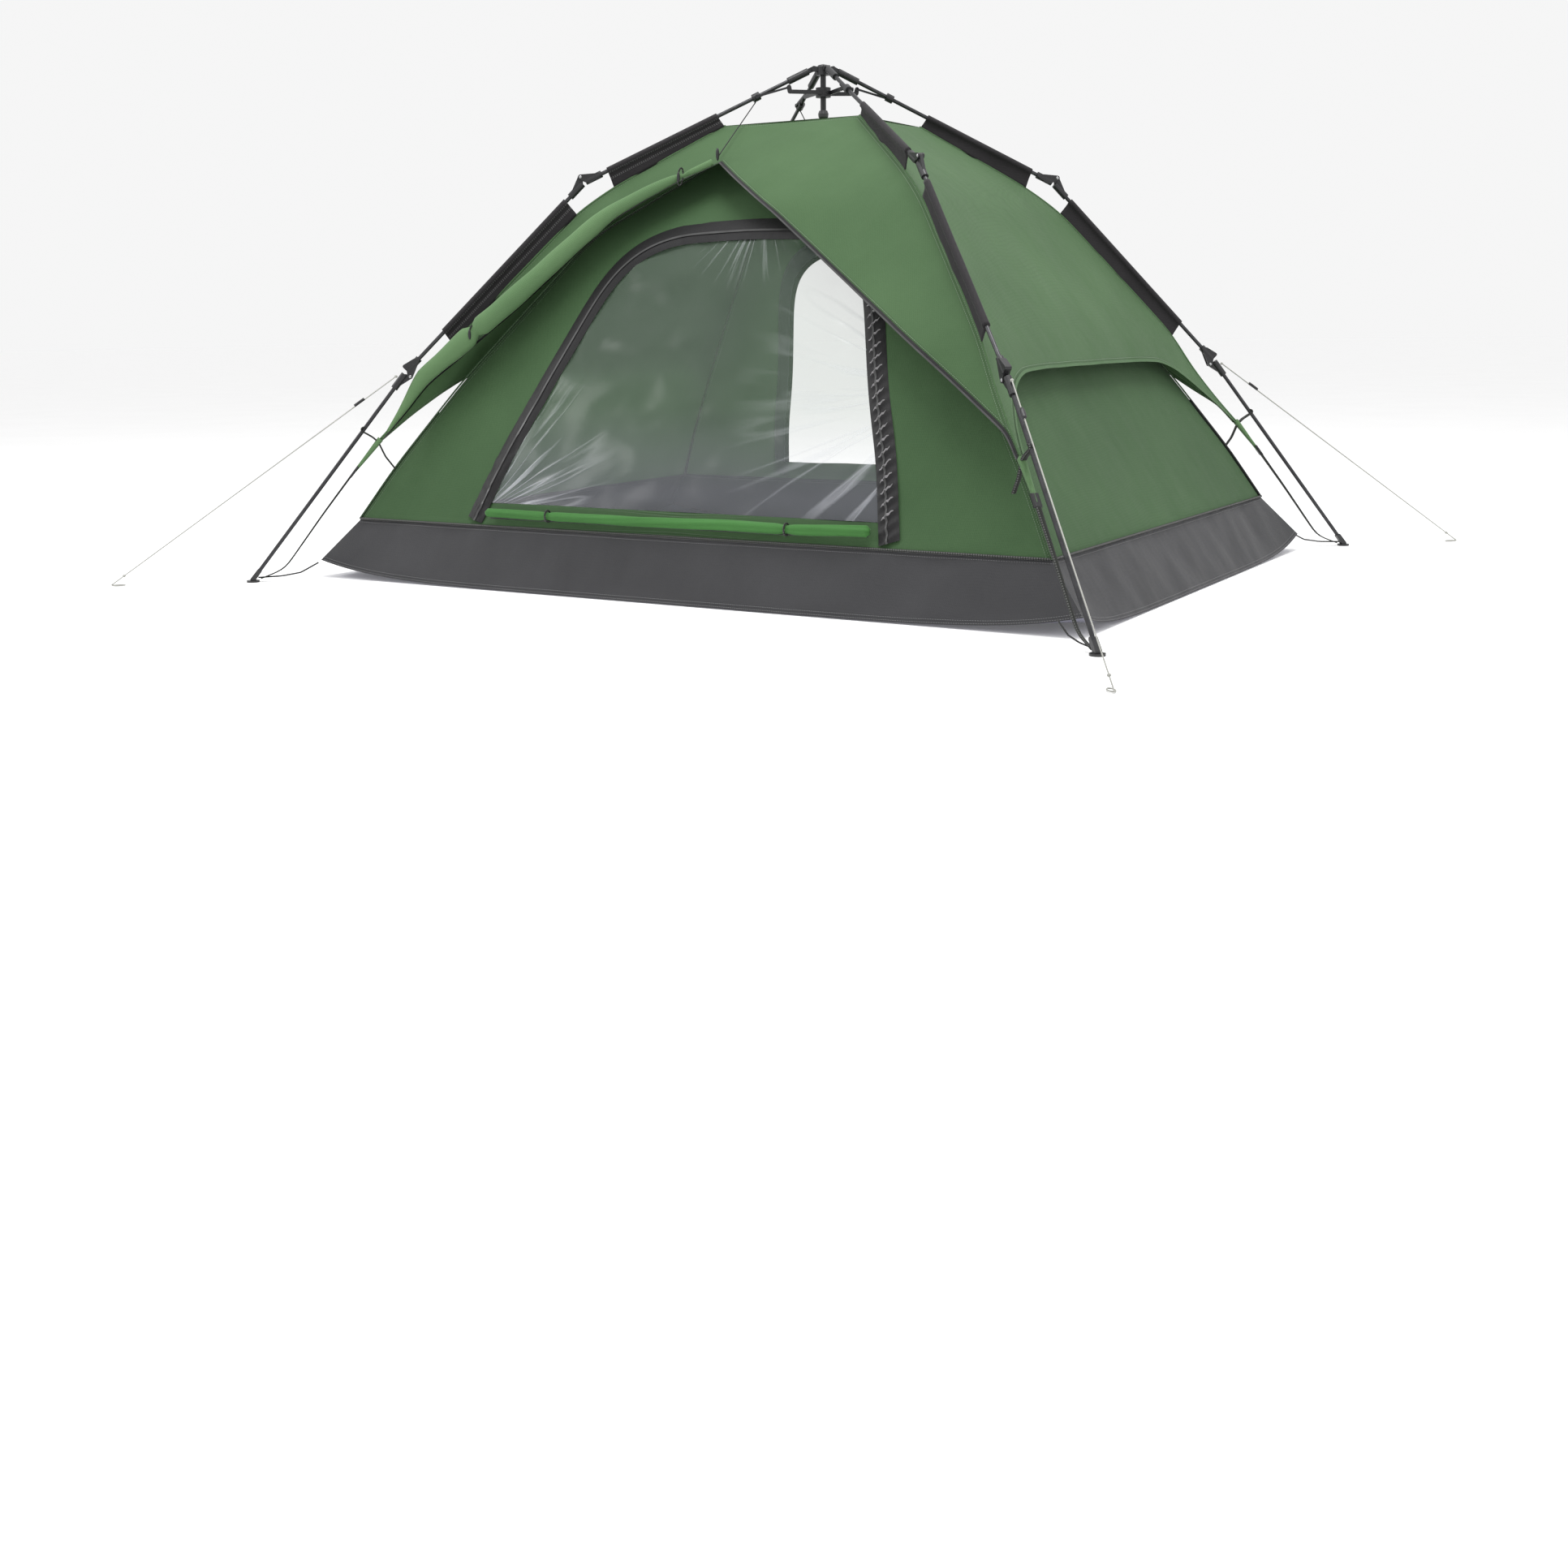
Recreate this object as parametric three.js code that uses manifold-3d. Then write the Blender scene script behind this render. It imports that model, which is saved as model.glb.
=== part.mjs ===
import * as THREE from 'three';
import { mergeVertices } from 'three/addons/utils/BufferGeometryUtils.js';
import Module from 'manifold-3d';

// Four-person automatic tent: an umbrella frame outside a fly sheet and an inner tent.
// Millimetres, +Z up, the front door faces -Y, the origin is on the ground under the hub.

// Frame, as points (distance from the axis, height) in the plane of a leg
const LEG_ANGLE = THREE.MathUtils.degToRad(40.28);
const HUB_PIVOT = [26, 1306];
const KNEE = [641, 1020];
const ANKLE = [1130, 541];
const FOOT = [1566, 7];
const POLE_R = 5;
const SOCKET_R = 9;
const GAP = 0.3;
const HUB_SOCKET_END = 75;
const KNUCKLE_REACH = 52;
const KNUCKLE_BORE = 15;
const SEAT = KNUCKLE_BORE + GAP;
const KNEE_OFFSET = 16;
const ANKLE_OFFSET = -15;
const CHEEK_IN = 4.5;
const CHEEK_OUT = 8;
const TONGUE_HALF = 4;
const PIN_R = 2.5;
const PIN_HOLE_R = 2.8;
const FOOT_R = 17;

// Hub, post, runner and struts
const HUB_R = 18;
const HUB_BOTTOM = 1290;
const HUB_TOP = 1318;
const POST_R = 7.5;
const POST_BOTTOM = 1184;
const GRIP_TOP = 1202;
const GRIP_BOTTOM = 1176;
const GRIP_R = 14;
const RUNNER_Z = [1235, 1259];
const RUNNER_R = 20;
const ARM_Z = 1246;
const ARM_REACH = 95;
const ARM_PIN_Z = 1258;
const CLAMP_AT = 169.8;
const STRUT_SIDE = [11.5, 14.5];
const ARM_SIDE = [15.5, 19.5];

// Fabric: thickness, and how far panels stop short of a shared seam
const CLOTH = 1.6;
const SEAM = 2;
const FLY_TOP = 1165;
const ROOF_SAG = 14;
const FLY_RIDGE = [[1214, 363], [1143, 435], [1065, 524], [1002, 614], [830, 782],
  [659, 945], [561, 1009], [412, 1086], [263, 1162]];
const FLY_VEE = [[-892, 382], [-819, 505], [-721, 584], [-585, 706], [-477, 819], [-378, 923],
  [-258, 997], [-143, 1059], [100, 920], [492, 668], [669, 552], [872, 417], [900, 376]];
const FLY_ARCH = [[-752, 376], [-629, 475], [-540, 520], [-468, 543], [-175, 547], [175, 547],
  [468, 543], [540, 520], [629, 475], [752, 376]];

// Inner tent: corner of each level as (half length, half width, height)
const FLOOR = [1100, 852.5];
const CORNER_LIFT = 44;
const TUB_UNDERSIDE = 2;
const TUB_TOP = [1000, 790, 157];
const INNER_LEVELS = [[1000, 790, 157], [920, 727, 292], [763, 609, 520], [478, 394, 885],
  [191, 162, 1090]];
const SILL_Z = 214;
const DOOR = [[578, 214], [540, 340], [490, 460], [438, 600], [390, 730], [350, 795], [288, 842],
  [200, 868], [0, 874]];

// Guy lines, from the outer side of each lower knuckle to the ground; the front right one is pegged
// a little towards the door
const GUY_TOP = [1153, 534];
const GUY_END = [1930, 4];
const GUY_R = 1.5;
const GUY_TURN = THREE.MathUtils.degToRad(-11.7);

const STEEL = ['#8d9092', 0.35, 0.85];
const BLACK_NYLON = ['#1d1d1f', 0.5, 0];
const FLY_GREEN = ['#5a7850', 0.85, 0];
const INNER_GREEN = ['#57764e', 0.85, 0];
const TUB_GREY = ['#4a4a4c', 0.8, 0];
const FILM = ['#9aa69c', 0.3, 0];
const ROLL_GREEN = ['#3f8a3a', 0.8, 0];
const CORD_GREY = ['#c9c9c4', 0.8, 0];
const GRIP_GREY = ['#4c4c50', 0.45, 0];

const wasm = await Module();
wasm.setup();

const group = new THREE.Group();
group.name = 'tent_on_poles';

function toManifold(geometry) {
  const bare = geometry.clone();
  bare.deleteAttribute('normal');
  bare.deleteAttribute('uv');
  const merged = mergeVertices(bare, 1e-4);
  const mesh = new wasm.Mesh({
    numProp: 3,
    vertProperties: new Float32Array(merged.attributes.position.array),
    triVerts: new Uint32Array(merged.index.array),
  });
  mesh.merge();
  return new wasm.Manifold(mesh);
}

function toGeometry(solid) {
  const mesh = solid.getMesh();
  const geometry = new THREE.BufferGeometry();
  const position = new Float32Array(mesh.vertProperties);
  geometry.setAttribute('position', new THREE.BufferAttribute(position, 3));
  geometry.setIndex(new THREE.BufferAttribute(new Uint32Array(mesh.triVerts), 1));
  return geometry;
}

function join(first, ...rest) {
  return rest.reduce((sum, next) => sum.add(next), first);
}

function addPiece(name, geometry, [colour, roughness, metalness], angle = 0) {
  const material = new THREE.MeshStandardMaterial({ color: colour, roughness, metalness });
  const solid = geometry.rotateZ(angle);
  solid.computeVertexNormals();
  const mesh = new THREE.Mesh(solid, material);
  mesh.name = name;
  group.add(mesh);
}

// ---- solids of the frame, in a leg's plane: x outward, z up, y across ----

function direction(from, to) {
  const length = Math.hypot(to[0] - from[0], to[1] - from[1]);
  return [(to[0] - from[0]) / length, (to[1] - from[1]) / length];
}

function along(point, way, distance) {
  return [point[0] + way[0] * distance, point[1] + way[1] * distance];
}

function rod(from, to, radius, y = 0, sides = 16) {
  const a = new THREE.Vector3(from[0], y, from[1]);
  const b = new THREE.Vector3(to[0], y, to[1]);
  const geometry = new THREE.CylinderGeometry(radius, radius, a.distanceTo(b), sides);
  const turn = new THREE.Quaternion();
  turn.setFromUnitVectors(new THREE.Vector3(0, 1, 0), b.clone().sub(a).normalize());
  geometry.applyQuaternion(turn);
  const middle = a.add(b).multiplyScalar(0.5);
  geometry.translate(middle.x, middle.y, middle.z);
  return toManifold(geometry);
}

function pin(at, radius, y0, y1, sides = 16) {
  const geometry = new THREE.CylinderGeometry(radius, radius, y1 - y0, sides);
  geometry.translate(at[0], (y0 + y1) / 2, at[1]);
  return toManifold(geometry);
}

function outlineOfCircles(circles, steps = 12) {
  const points = [];
  for (const [x, z, radius] of circles) {
    for (let i = 0; i < steps; i++) {
      const angle = (2 * Math.PI * i) / steps;
      points.push([x + radius * Math.cos(angle), z + radius * Math.sin(angle)]);
    }
  }
  points.sort((p, q) => p[0] - q[0] || p[1] - q[1]);
  const turnsRight = (o, a, b) => (
    (a[0] - o[0]) * (b[1] - o[1]) - (a[1] - o[1]) * (b[0] - o[0]) <= 1e-6
  );
  const half = (list) => {
    const chain = [];
    for (const p of list) {
      while (chain.length > 1 && turnsRight(chain.at(-2), chain.at(-1), p)) {
        chain.pop();
      }
      chain.push(p);
    }
    chain.pop();
    return chain;
  };
  return [...half(points), ...half([...points].reverse())];
}

function plate(circles, y0, y1) {
  const shape = new THREE.Shape(outlineOfCircles(circles).map(([x, z]) => new THREE.Vector2(x, z)));
  const geometry = new THREE.ExtrudeGeometry(shape, { depth: y1 - y0, bevelEnabled: false });
  geometry.rotateX(Math.PI / 2);
  geometry.translate(0, y1, 0);
  return toManifold(geometry);
}

function lathe(profile, sides = 32) {
  const points = profile.map(([radius, z]) => new THREE.Vector2(radius, z));
  points.push(points[0].clone());
  const geometry = new THREE.LatheGeometry(points, sides);
  geometry.rotateX(Math.PI / 2);
  return toManifold(geometry);
}

const upper = direction(HUB_PIVOT, KNEE);
const middle = direction(KNEE, ANKLE);
const lower = direction(ANKLE, FOOT);

function pivotAt(point, before, after, offset) {
  const normal = direction([0, 0], [-(before[1] + after[1]), before[0] + after[0]]);
  return along(point, normal, offset);
}

const kneePivot = pivotAt(KNEE, upper, middle, KNEE_OFFSET);
const anklePivot = pivotAt(ANKLE, middle, lower, ANKLE_OFFSET);
const clampPin = along(HUB_PIVOT, upper, CLAMP_AT);
const armPin = [ARM_REACH, ARM_PIN_Z];

function hubSocket() {
  const neck = plate([[...HUB_PIVOT, 6.3], [...along(HUB_PIVOT, upper, 24), 6]], -5, 5);
  const end = along(HUB_PIVOT, upper, HUB_SOCKET_END);
  const sleeve = rod(along(HUB_PIVOT, upper, 16), end, SOCKET_R);
  const bore = rod(along(HUB_PIVOT, upper, 40), along(end, upper, 2), POLE_R + GAP);
  return join(neck, sleeve).subtract(bore).subtract(pin(HUB_PIVOT, PIN_HOLE_R, -6, 6));
}

// A knuckle half: a socket on the pole that runs the given way from the joint, and its bore
function knuckleSocket(joint, way) {
  const end = along(joint, way, KNUCKLE_REACH);
  const sleeve = rod(along(joint, way, 5), end, SOCKET_R);
  const bore = rod(along(joint, way, KNUCKLE_BORE), along(end, way, 2), POLE_R + GAP);
  return { sleeve, bore };
}

function fork(joint, way, pivot, wedge) {
  const { sleeve, bore } = knuckleSocket(joint, way);
  const circles = [[...pivot, 6.5], [...along(joint, way, 13), 7], [...along(joint, way, 42), 6]];
  const cheeks = join(plate(circles, CHEEK_IN, CHEEK_OUT), plate(circles, -CHEEK_OUT, -CHEEK_IN));
  const parts = [sleeve, cheeks, pin(pivot, PIN_R, -CHEEK_OUT, CHEEK_OUT)];
  if (wedge) {
    parts.push(plate(wedge, -CHEEK_OUT, CHEEK_OUT));
  }
  return join(...parts).subtract(bore);
}

function tongue(joint, way, pivot) {
  const { sleeve, bore } = knuckleSocket(joint, way);
  const circles = [[...pivot, 6], [...along(joint, way, 13), 7], [...along(joint, way, 42), 6]];
  const blade = plate(circles, -TONGUE_HALF, TONGUE_HALF);
  return join(sleeve, blade).subtract(bore).subtract(pin(pivot, PIN_HOLE_R, -6, 6));
}

function strutClamp() {
  const collar = rod(along(clampPin, upper, -10), along(clampPin, upper, 10), 10.5);
  const bore = rod(along(clampPin, upper, -12), along(clampPin, upper, 12), POLE_R + GAP);
  return join(collar.subtract(bore), pin(clampPin, 2, 8, ARM_SIDE[0] - 0.5));
}

function strut() {
  const [y0, y1] = STRUT_SIDE;
  const bar = plate([[...clampPin, 2.6], [...armPin, 2.6]], y0, y1);
  const eyes = [pin(clampPin, 5, y0, y1), pin(armPin, 5, y0, y1)];
  const holes = [pin(clampPin, 2.3, y0 - 1, y1 + 1), pin(armPin, 2.3, y0 - 1, y1 + 1)];
  return holes.reduce((solid, hole) => solid.subtract(hole), join(bar, ...eyes));
}

// A pole between two points, with its ends seated in the sockets
function pole(from, to, fromSeat, toSeat) {
  const way = direction(from, to);
  return rod(along(from, way, fromSeat), along(to, way, -toSeat), POLE_R);
}

function guyLine(turn) {
  const start = new THREE.Vector3(GUY_TOP[0], 0, GUY_TOP[1]);
  const cord = rod(GUY_TOP, GUY_END, GUY_R, 0, 8);
  const swing = THREE.MathUtils.radToDeg(turn);
  return cord.translate([-start.x, 0, 0]).rotate([0, 0, swing]).translate([start.x, 0, 0]);
}

function lowerPole() {
  const tube = pole(ANKLE, FOOT, SEAT, 18);
  const boot = plate([[...along(FOOT, lower, -30), 6], [FOOT[0], 7, 6.5]], -8, 8);
  const pad = rod([FOOT[0], 0], [FOOT[0], 5], FOOT_R, 0, 28);
  return join(tube, boot, pad);
}

const kneeBack = [-upper[0], -upper[1]];
const ankleBack = [-middle[0], -middle[1]];
const ankleOut = [-middle[1], middle[0]];
const ankleWedge = [
  [...along(along(ANKLE, ankleBack, 40), ankleOut, 5), 5],
  [...along(along(ANKLE, ankleBack, 10), ankleOut, 13), 5],
  [...along(ANKLE, ankleBack, 11), 6],
];

const legPieces = [
  ['hub_socket', hubSocket(), BLACK_NYLON],
  ['upper_pole', pole(HUB_PIVOT, KNEE, 40 + GAP, SEAT), STEEL],
  ['strut_clamp', strutClamp(), BLACK_NYLON],
  ['strut', strut(), STEEL],
  ['knee_fork', fork(KNEE, kneeBack, kneePivot), BLACK_NYLON],
  ['knee_tongue', tongue(KNEE, middle, kneePivot), BLACK_NYLON],
  ['middle_pole', pole(KNEE, ANKLE, SEAT, SEAT), STEEL],
  ['ankle_fork', fork(ANKLE, ankleBack, anklePivot, ankleWedge), BLACK_NYLON],
  ['ankle_tongue', tongue(ANKLE, lower, anklePivot), BLACK_NYLON],
  ['lower_pole', lowerPole(), STEEL],
];

const legs = {
  front_left: Math.PI + LEG_ANGLE,
  front_right: -LEG_ANGLE,
  back_right: LEG_ANGLE,
  back_left: Math.PI - LEG_ANGLE,
};

for (const [corner, angle] of Object.entries(legs)) {
  for (const [name, solid, material] of legPieces) {
    addPiece(`${name}_${corner}`, toGeometry(solid), material, angle);
  }
  const turn = corner === 'front_right' ? GUY_TURN : 0;
  addPiece(`guy_line_${corner}`, toGeometry(guyLine(turn)), CORD_GREY, angle);
}

// ---- hub, post, grip and runner ----

function topHub() {
  const body = lathe([[POST_R + 0.6, HUB_BOTTOM], [HUB_R, HUB_BOTTOM], [HUB_R, 1310], [13, 1315],
    [0, HUB_TOP], [0, 1306.3], [POST_R + 0.6, 1306.3]]);
  const parts = [body];
  for (const angle of Object.values(legs)) {
    const circles = [[...HUB_PIVOT, 6.5], [15, 1305, 5]];
    const cheeks = join(plate(circles, 5.5, 8.5), plate(circles, -8.5, -5.5),
      pin(HUB_PIVOT, PIN_R, -8.5, 8.5));
    parts.push(cheeks.rotate([0, 0, THREE.MathUtils.radToDeg(angle)]));
  }
  return join(...parts);
}

function runner() {
  const [bottom, top] = RUNNER_Z;
  const bore = POST_R + 0.7;
  const ring = lathe([[bore, bottom], [RUNNER_R, bottom], [RUNNER_R, top], [bore, top]]);
  const [y0, y1] = ARM_SIDE;
  const parts = [ring];
  for (const angle of Object.values(legs)) {
    const bar = plate([[4, ARM_Z, 5], [ARM_REACH - 4, ARM_Z + 1, 5]], y0, y1);
    const knob = plate([[ARM_REACH - 2, ARM_Z + 2, 6], [...armPin, 6]], y0, y1);
    parts.push(join(bar, knob).rotate([0, 0, THREE.MathUtils.radToDeg(angle)]));
  }
  return join(...parts);
}

function pullGrip() {
  const bore = POST_R + GAP;
  const floor = POST_BOTTOM - GAP;
  return lathe([[0, GRIP_BOTTOM], [6, GRIP_BOTTOM + 1], [GRIP_R - 1, GRIP_BOTTOM + 10],
    [GRIP_R, GRIP_TOP - 8], [GRIP_R - 3, GRIP_TOP], [bore, GRIP_TOP], [bore, floor], [0, floor]]);
}

addPiece('top_hub', toGeometry(topHub()), BLACK_NYLON);
addPiece('centre_post', toGeometry(rod([0, POST_BOTTOM], [0, 1306], POST_R, 0, 28)), BLACK_NYLON);
addPiece('pull_grip', toGeometry(pullGrip()), GRIP_GREY);
addPiece('runner', toGeometry(runner()), BLACK_NYLON);

// ---- fabric: each panel is a grid of points given a thickness ----

function shell(rows, thickness, closed = false) {
  const count = rows.length;
  const width = rows[0].length;
  const clamp = THREE.MathUtils.clamp;
  const rowAt = (i) => rows[closed ? (i + count) % count : clamp(i, 0, count - 1)];
  const at = (i, j) => rowAt(i)[clamp(j, 0, width - 1)];
  const outer = [];
  const inner = [];
  for (let i = 0; i < count; i++) {
    for (let j = 0; j < width; j++) {
      const alongRow = at(i, j + 1).clone().sub(at(i, j - 1));
      const acrossRows = at(i + 1, j).clone().sub(at(i - 1, j));
      const normal = alongRow.cross(acrossRows).normalize();
      outer.push(at(i, j));
      inner.push(at(i, j).clone().addScaledVector(normal, -thickness));
    }
  }
  const position = [...outer, ...inner].flatMap((p) => [p.x, p.y, p.z]);
  const shift = outer.length;
  const index = [];
  const quad = (a, b, c, d) => index.push(a, b, c, a, c, d);
  const last = closed ? count : count - 1;
  for (let i = 0; i < last; i++) {
    const here = i * width;
    const next = ((i + 1) % count) * width;
    for (let j = 0; j < width - 1; j++) {
      quad(here + j, here + j + 1, next + j + 1, next + j);
      quad(shift + here + j, shift + next + j, shift + next + j + 1, shift + here + j + 1);
    }
    quad(here, next, shift + next, shift + here);
    const end = width - 1;
    quad(next + end, here + end, shift + here + end, shift + next + end);
  }
  if (!closed) {
    const far = (count - 1) * width;
    for (let j = 0; j < width - 1; j++) {
      quad(j + 1, j, shift + j, shift + j + 1);
      quad(far + j, far + j + 1, shift + far + j + 1, shift + far + j);
    }
  }
  const geometry = new THREE.BufferGeometry();
  geometry.setAttribute('position', new THREE.Float32BufferAttribute(position, 3));
  geometry.setIndex(index);
  return geometry;
}

function resample(line, count) {
  const reach = [0];
  for (let i = 1; i < line.length; i++) {
    reach.push(reach[i - 1] + Math.hypot(line[i][0] - line[i - 1][0], line[i][1] - line[i - 1][1]));
  }
  const points = [];
  let k = 0;
  for (let n = 0; n < count; n++) {
    const target = (reach.at(-1) * n) / (count - 1);
    while (k < reach.length - 2 && reach[k + 1] < target) {
      k++;
    }
    const t = (target - reach[k]) / (reach[k + 1] - reach[k]);
    points.push([0, 1].map((c) => line[k][c] + (line[k + 1][c] - line[k][c]) * t));
  }
  return points;
}

function interpolate(levels, z, keyAt, valueAt) {
  let k = 0;
  while (k < levels.length - 2 && levels[k + 1][keyAt] < z) {
    k++;
  }
  const t = (z - levels[k][keyAt]) / (levels[k + 1][keyAt] - levels[k][keyAt]);
  return levels[k][valueAt] + (levels[k + 1][valueAt] - levels[k][valueAt]) * t;
}

// Rows that run from an inner outline to an outer one, both in (across, height)
function band(innerLine, outerLine, place, columns) {
  return innerLine.map((from, i) => {
    const row = [];
    for (let j = 0; j <= columns; j++) {
      const t = j / columns;
      const s = from[0] + (outerLine[i][0] - from[0]) * t;
      const z = from[1] + (outerLine[i][1] - from[1]) * t;
      row.push(place(s, z));
    }
    return row;
  });
}

const flyReach = (z) => interpolate(FLY_RIDGE, z, 1, 0);
const cosLeg = Math.cos(LEG_ANGLE);
const sinLeg = Math.sin(LEG_ANGLE);

function flyOutline(share, seam) {
  const rise = FLY_RIDGE.map(([r, z]) => [-(r * share - seam), z]);
  const fall = [...FLY_RIDGE].reverse().map(([r, z]) => [r * share - seam, z]);
  const top = resample([rise.at(-1), fall[0]], 6).slice(1, -1);
  return [...resample(rise, 16), ...top, ...resample(fall, 16)];
}

const onFlyFront = (x, z) => new THREE.Vector3(x, -flyReach(z) * sinLeg, z);
const onFlyRight = (y, z) => new THREE.Vector3(flyReach(z) * cosLeg, y, z);
const frontOutline = flyOutline(cosLeg, SEAM);
const sideOutline = flyOutline(sinLeg, SEAM);
const flyFront = band(resample(FLY_VEE, frontOutline.length), frontOutline, onFlyFront, 5);
const flyRight = band(resample(FLY_ARCH, sideOutline.length), sideOutline, onFlyRight, 6);

// The same rows on the other side of the tent's length, still facing out
function mirrored(rows) {
  return [...rows].reverse().map((row) => row.map((p) => new THREE.Vector3(p.x, -p.y, p.z)));
}

addPiece('fly_front', shell(flyFront, CLOTH), FLY_GREEN);
addPiece('fly_back', shell(mirrored(flyFront), CLOTH), FLY_GREEN);
addPiece('fly_right', shell(flyRight, CLOTH), FLY_GREEN);
addPiece('fly_left', shell(flyRight, CLOTH), FLY_GREEN, Math.PI);

function saggingRoof(columns = 6) {
  const corner = FLY_RIDGE.at(-1)[0];
  const marks = Array.from({ length: columns + 1 }, (_, i) => (2 * i) / columns - 1);
  return marks.map((b) => marks.map((a) => {
    const sag = ROOF_SAG * (1 - a * a) * (1 - b * b);
    const [x, y] = [a * (corner * cosLeg - SEAM), b * (corner * sinLeg - SEAM)];
    return new THREE.Vector3(x, y, FLY_TOP + 1 - sag);
  }));
}

addPiece('fly_roof', shell(saggingRoof(), CLOTH), FLY_GREEN);

// ---- inner tent ----

const innerX = (z) => interpolate(INNER_LEVELS, z, 2, 0);
const innerY = (z) => interpolate(INNER_LEVELS, z, 2, 1);

// Positions near a corner are squeezed together as the wall rises, so no cell collapses
function squeeze(value, spread) {
  const size = Math.abs(value);
  const kept = 0.93;
  const moved = size <= kept ? size : kept + ((1 - kept) * (size - kept)) / (spread - kept);
  return Math.sign(value) * moved;
}

function tub() {
  const half = [0, 0.5, 0.8, 0.93, 1, 1.03, 1.5, 2];
  const marks = [...half.slice(1).map((m) => -m).reverse(), ...half];
  return marks.map((b) => marks.map((a) => {
    const spread = Math.max(Math.abs(a), Math.abs(b), 1);
    const [u, v] = [squeeze(a, spread), squeeze(b, spread)];
    const lift = CORNER_LIFT * Math.abs(u) ** 6 * Math.abs(v) ** 6;
    const base = new THREE.Vector3(u * FLOOR[0], v * FLOOR[1], TUB_UNDERSIDE + CLOTH + lift);
    const top = new THREE.Vector3(u * TUB_TOP[0], v * TUB_TOP[1], TUB_TOP[2] - 1);
    return base.lerp(top, spread - 1);
  }));
}

const sections = 12;

function wallOutline(seam) {
  const rise = INNER_LEVELS.map(([x, , z]) => [-(x - seam), z]);
  const fall = [...INNER_LEVELS].reverse().map(([x, , z]) => [x - seam, z]);
  return [
    ...resample(rise, sections + 1).slice(0, -1),
    ...resample([rise.at(-1), fall[0]], sections + 1).slice(0, -1),
    ...resample(fall, sections + 1).slice(0, -1),
    ...resample([fall.at(-1), rise[0]], sections + 1).slice(0, -1),
  ];
}

function doorOutline(gap) {
  const half = DOOR.map(([x, z]) => [x + gap, z]);
  const left = half.slice(0, 6).map(([x, z]) => [-x, z]);
  const right = half.slice(0, 6).reverse();
  const crown = half.slice(5).map(([x, z]) => [-x, z + gap]);
  const arch = [...crown, ...half.slice(5, -1).reverse().map(([x, z]) => [x, z + gap])];
  return [
    ...resample(left, sections + 1).slice(0, -1),
    ...resample(arch, sections + 1).slice(0, -1),
    ...resample(right, sections + 1).slice(0, -1),
    ...resample([right.at(-1), left[0]], sections + 1).slice(0, -1),
  ];
}

const onInnerFront = (x, z) => new THREE.Vector3(x, -innerY(z), z);
const endWall = band(doorOutline(0), wallOutline(SEAM), onInnerFront, 4);

addPiece('tub_floor', shell(tub(), CLOTH), TUB_GREY);
addPiece('inner_front_wall', shell(endWall, CLOTH, true), INNER_GREEN);
addPiece('inner_back_wall', shell(endWall, CLOTH, true), INNER_GREEN, Math.PI);

// The two side walls and the roof of the inner tent are one long panel
function saddle() {
  const side = resample(INNER_LEVELS.map(([x, , z]) => [x, z]), 9);
  const right = side.map(([x, z]) => [x, z, innerY(z) - SEAM]);
  const roof = [0.5, 0, -0.5].map((t) => [t * INNER_LEVELS.at(-1)[0], 1096, innerY(1090) - SEAM]);
  const left = [...right].reverse().map(([x, z, y]) => [-x, z, y]);
  return [...right, ...roof, ...left].map(([x, z, y]) => (
    [-1, -0.5, 0, 0.5, 1].map((t) => new THREE.Vector3(x, t * y, z))
  ));
}

addPiece('inner_side_and_roof', shell(saddle(), CLOTH), INNER_GREEN);

function doorPanel() {
  const gap = 7;
  const rows = [];
  for (const z of [SILL_Z + gap, 280, 340, 400, 460, 530, 600, 665, 730, 795, 835, 860]) {
    const half = interpolate(DOOR, z, 1, 0) - gap;
    rows.push([-1, -0.6, -0.2, 0.2, 0.6, 1].map((t) => onInnerFront(t * half, z)));
  }
  return rows;
}

addPiece('front_door', shell(doorPanel(), 1), FILM);

function doorRoll() {
  const radius = 15;
  const z = 190;
  const y = -innerY(z) - radius - 7;
  const geometry = new THREE.CylinderGeometry(radius, radius, 1120, 20);
  geometry.rotateZ(Math.PI / 2);
  geometry.translate(0, y, z);
  return geometry;
}

addPiece('front_door_roll', doorRoll(), ROLL_GREEN);
addPiece('back_door_roll', doorRoll(), ROLL_GREEN, Math.PI);

export default group;
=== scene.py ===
"""Looks of the tent on poles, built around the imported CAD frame. Metres, +Z up, the front door faces -Y."""

import math
import bmesh
import bpy
import numpy as np
from mathutils import Matrix, Vector, noise


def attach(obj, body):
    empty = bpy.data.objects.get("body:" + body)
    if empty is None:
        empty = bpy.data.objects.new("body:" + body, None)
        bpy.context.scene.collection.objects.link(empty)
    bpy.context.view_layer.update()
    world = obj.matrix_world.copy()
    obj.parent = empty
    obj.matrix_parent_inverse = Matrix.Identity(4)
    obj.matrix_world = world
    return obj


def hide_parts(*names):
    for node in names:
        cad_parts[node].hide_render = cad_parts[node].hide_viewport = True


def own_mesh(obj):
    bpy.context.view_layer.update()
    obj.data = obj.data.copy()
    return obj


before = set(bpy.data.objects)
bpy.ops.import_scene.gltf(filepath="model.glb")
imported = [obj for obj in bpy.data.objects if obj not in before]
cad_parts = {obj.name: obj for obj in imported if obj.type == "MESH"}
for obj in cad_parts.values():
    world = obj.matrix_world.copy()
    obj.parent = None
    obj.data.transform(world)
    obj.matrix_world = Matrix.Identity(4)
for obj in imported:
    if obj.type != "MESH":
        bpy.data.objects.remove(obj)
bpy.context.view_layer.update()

# ---- driving dimensions, the same as the CAD's, in metres ----

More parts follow.
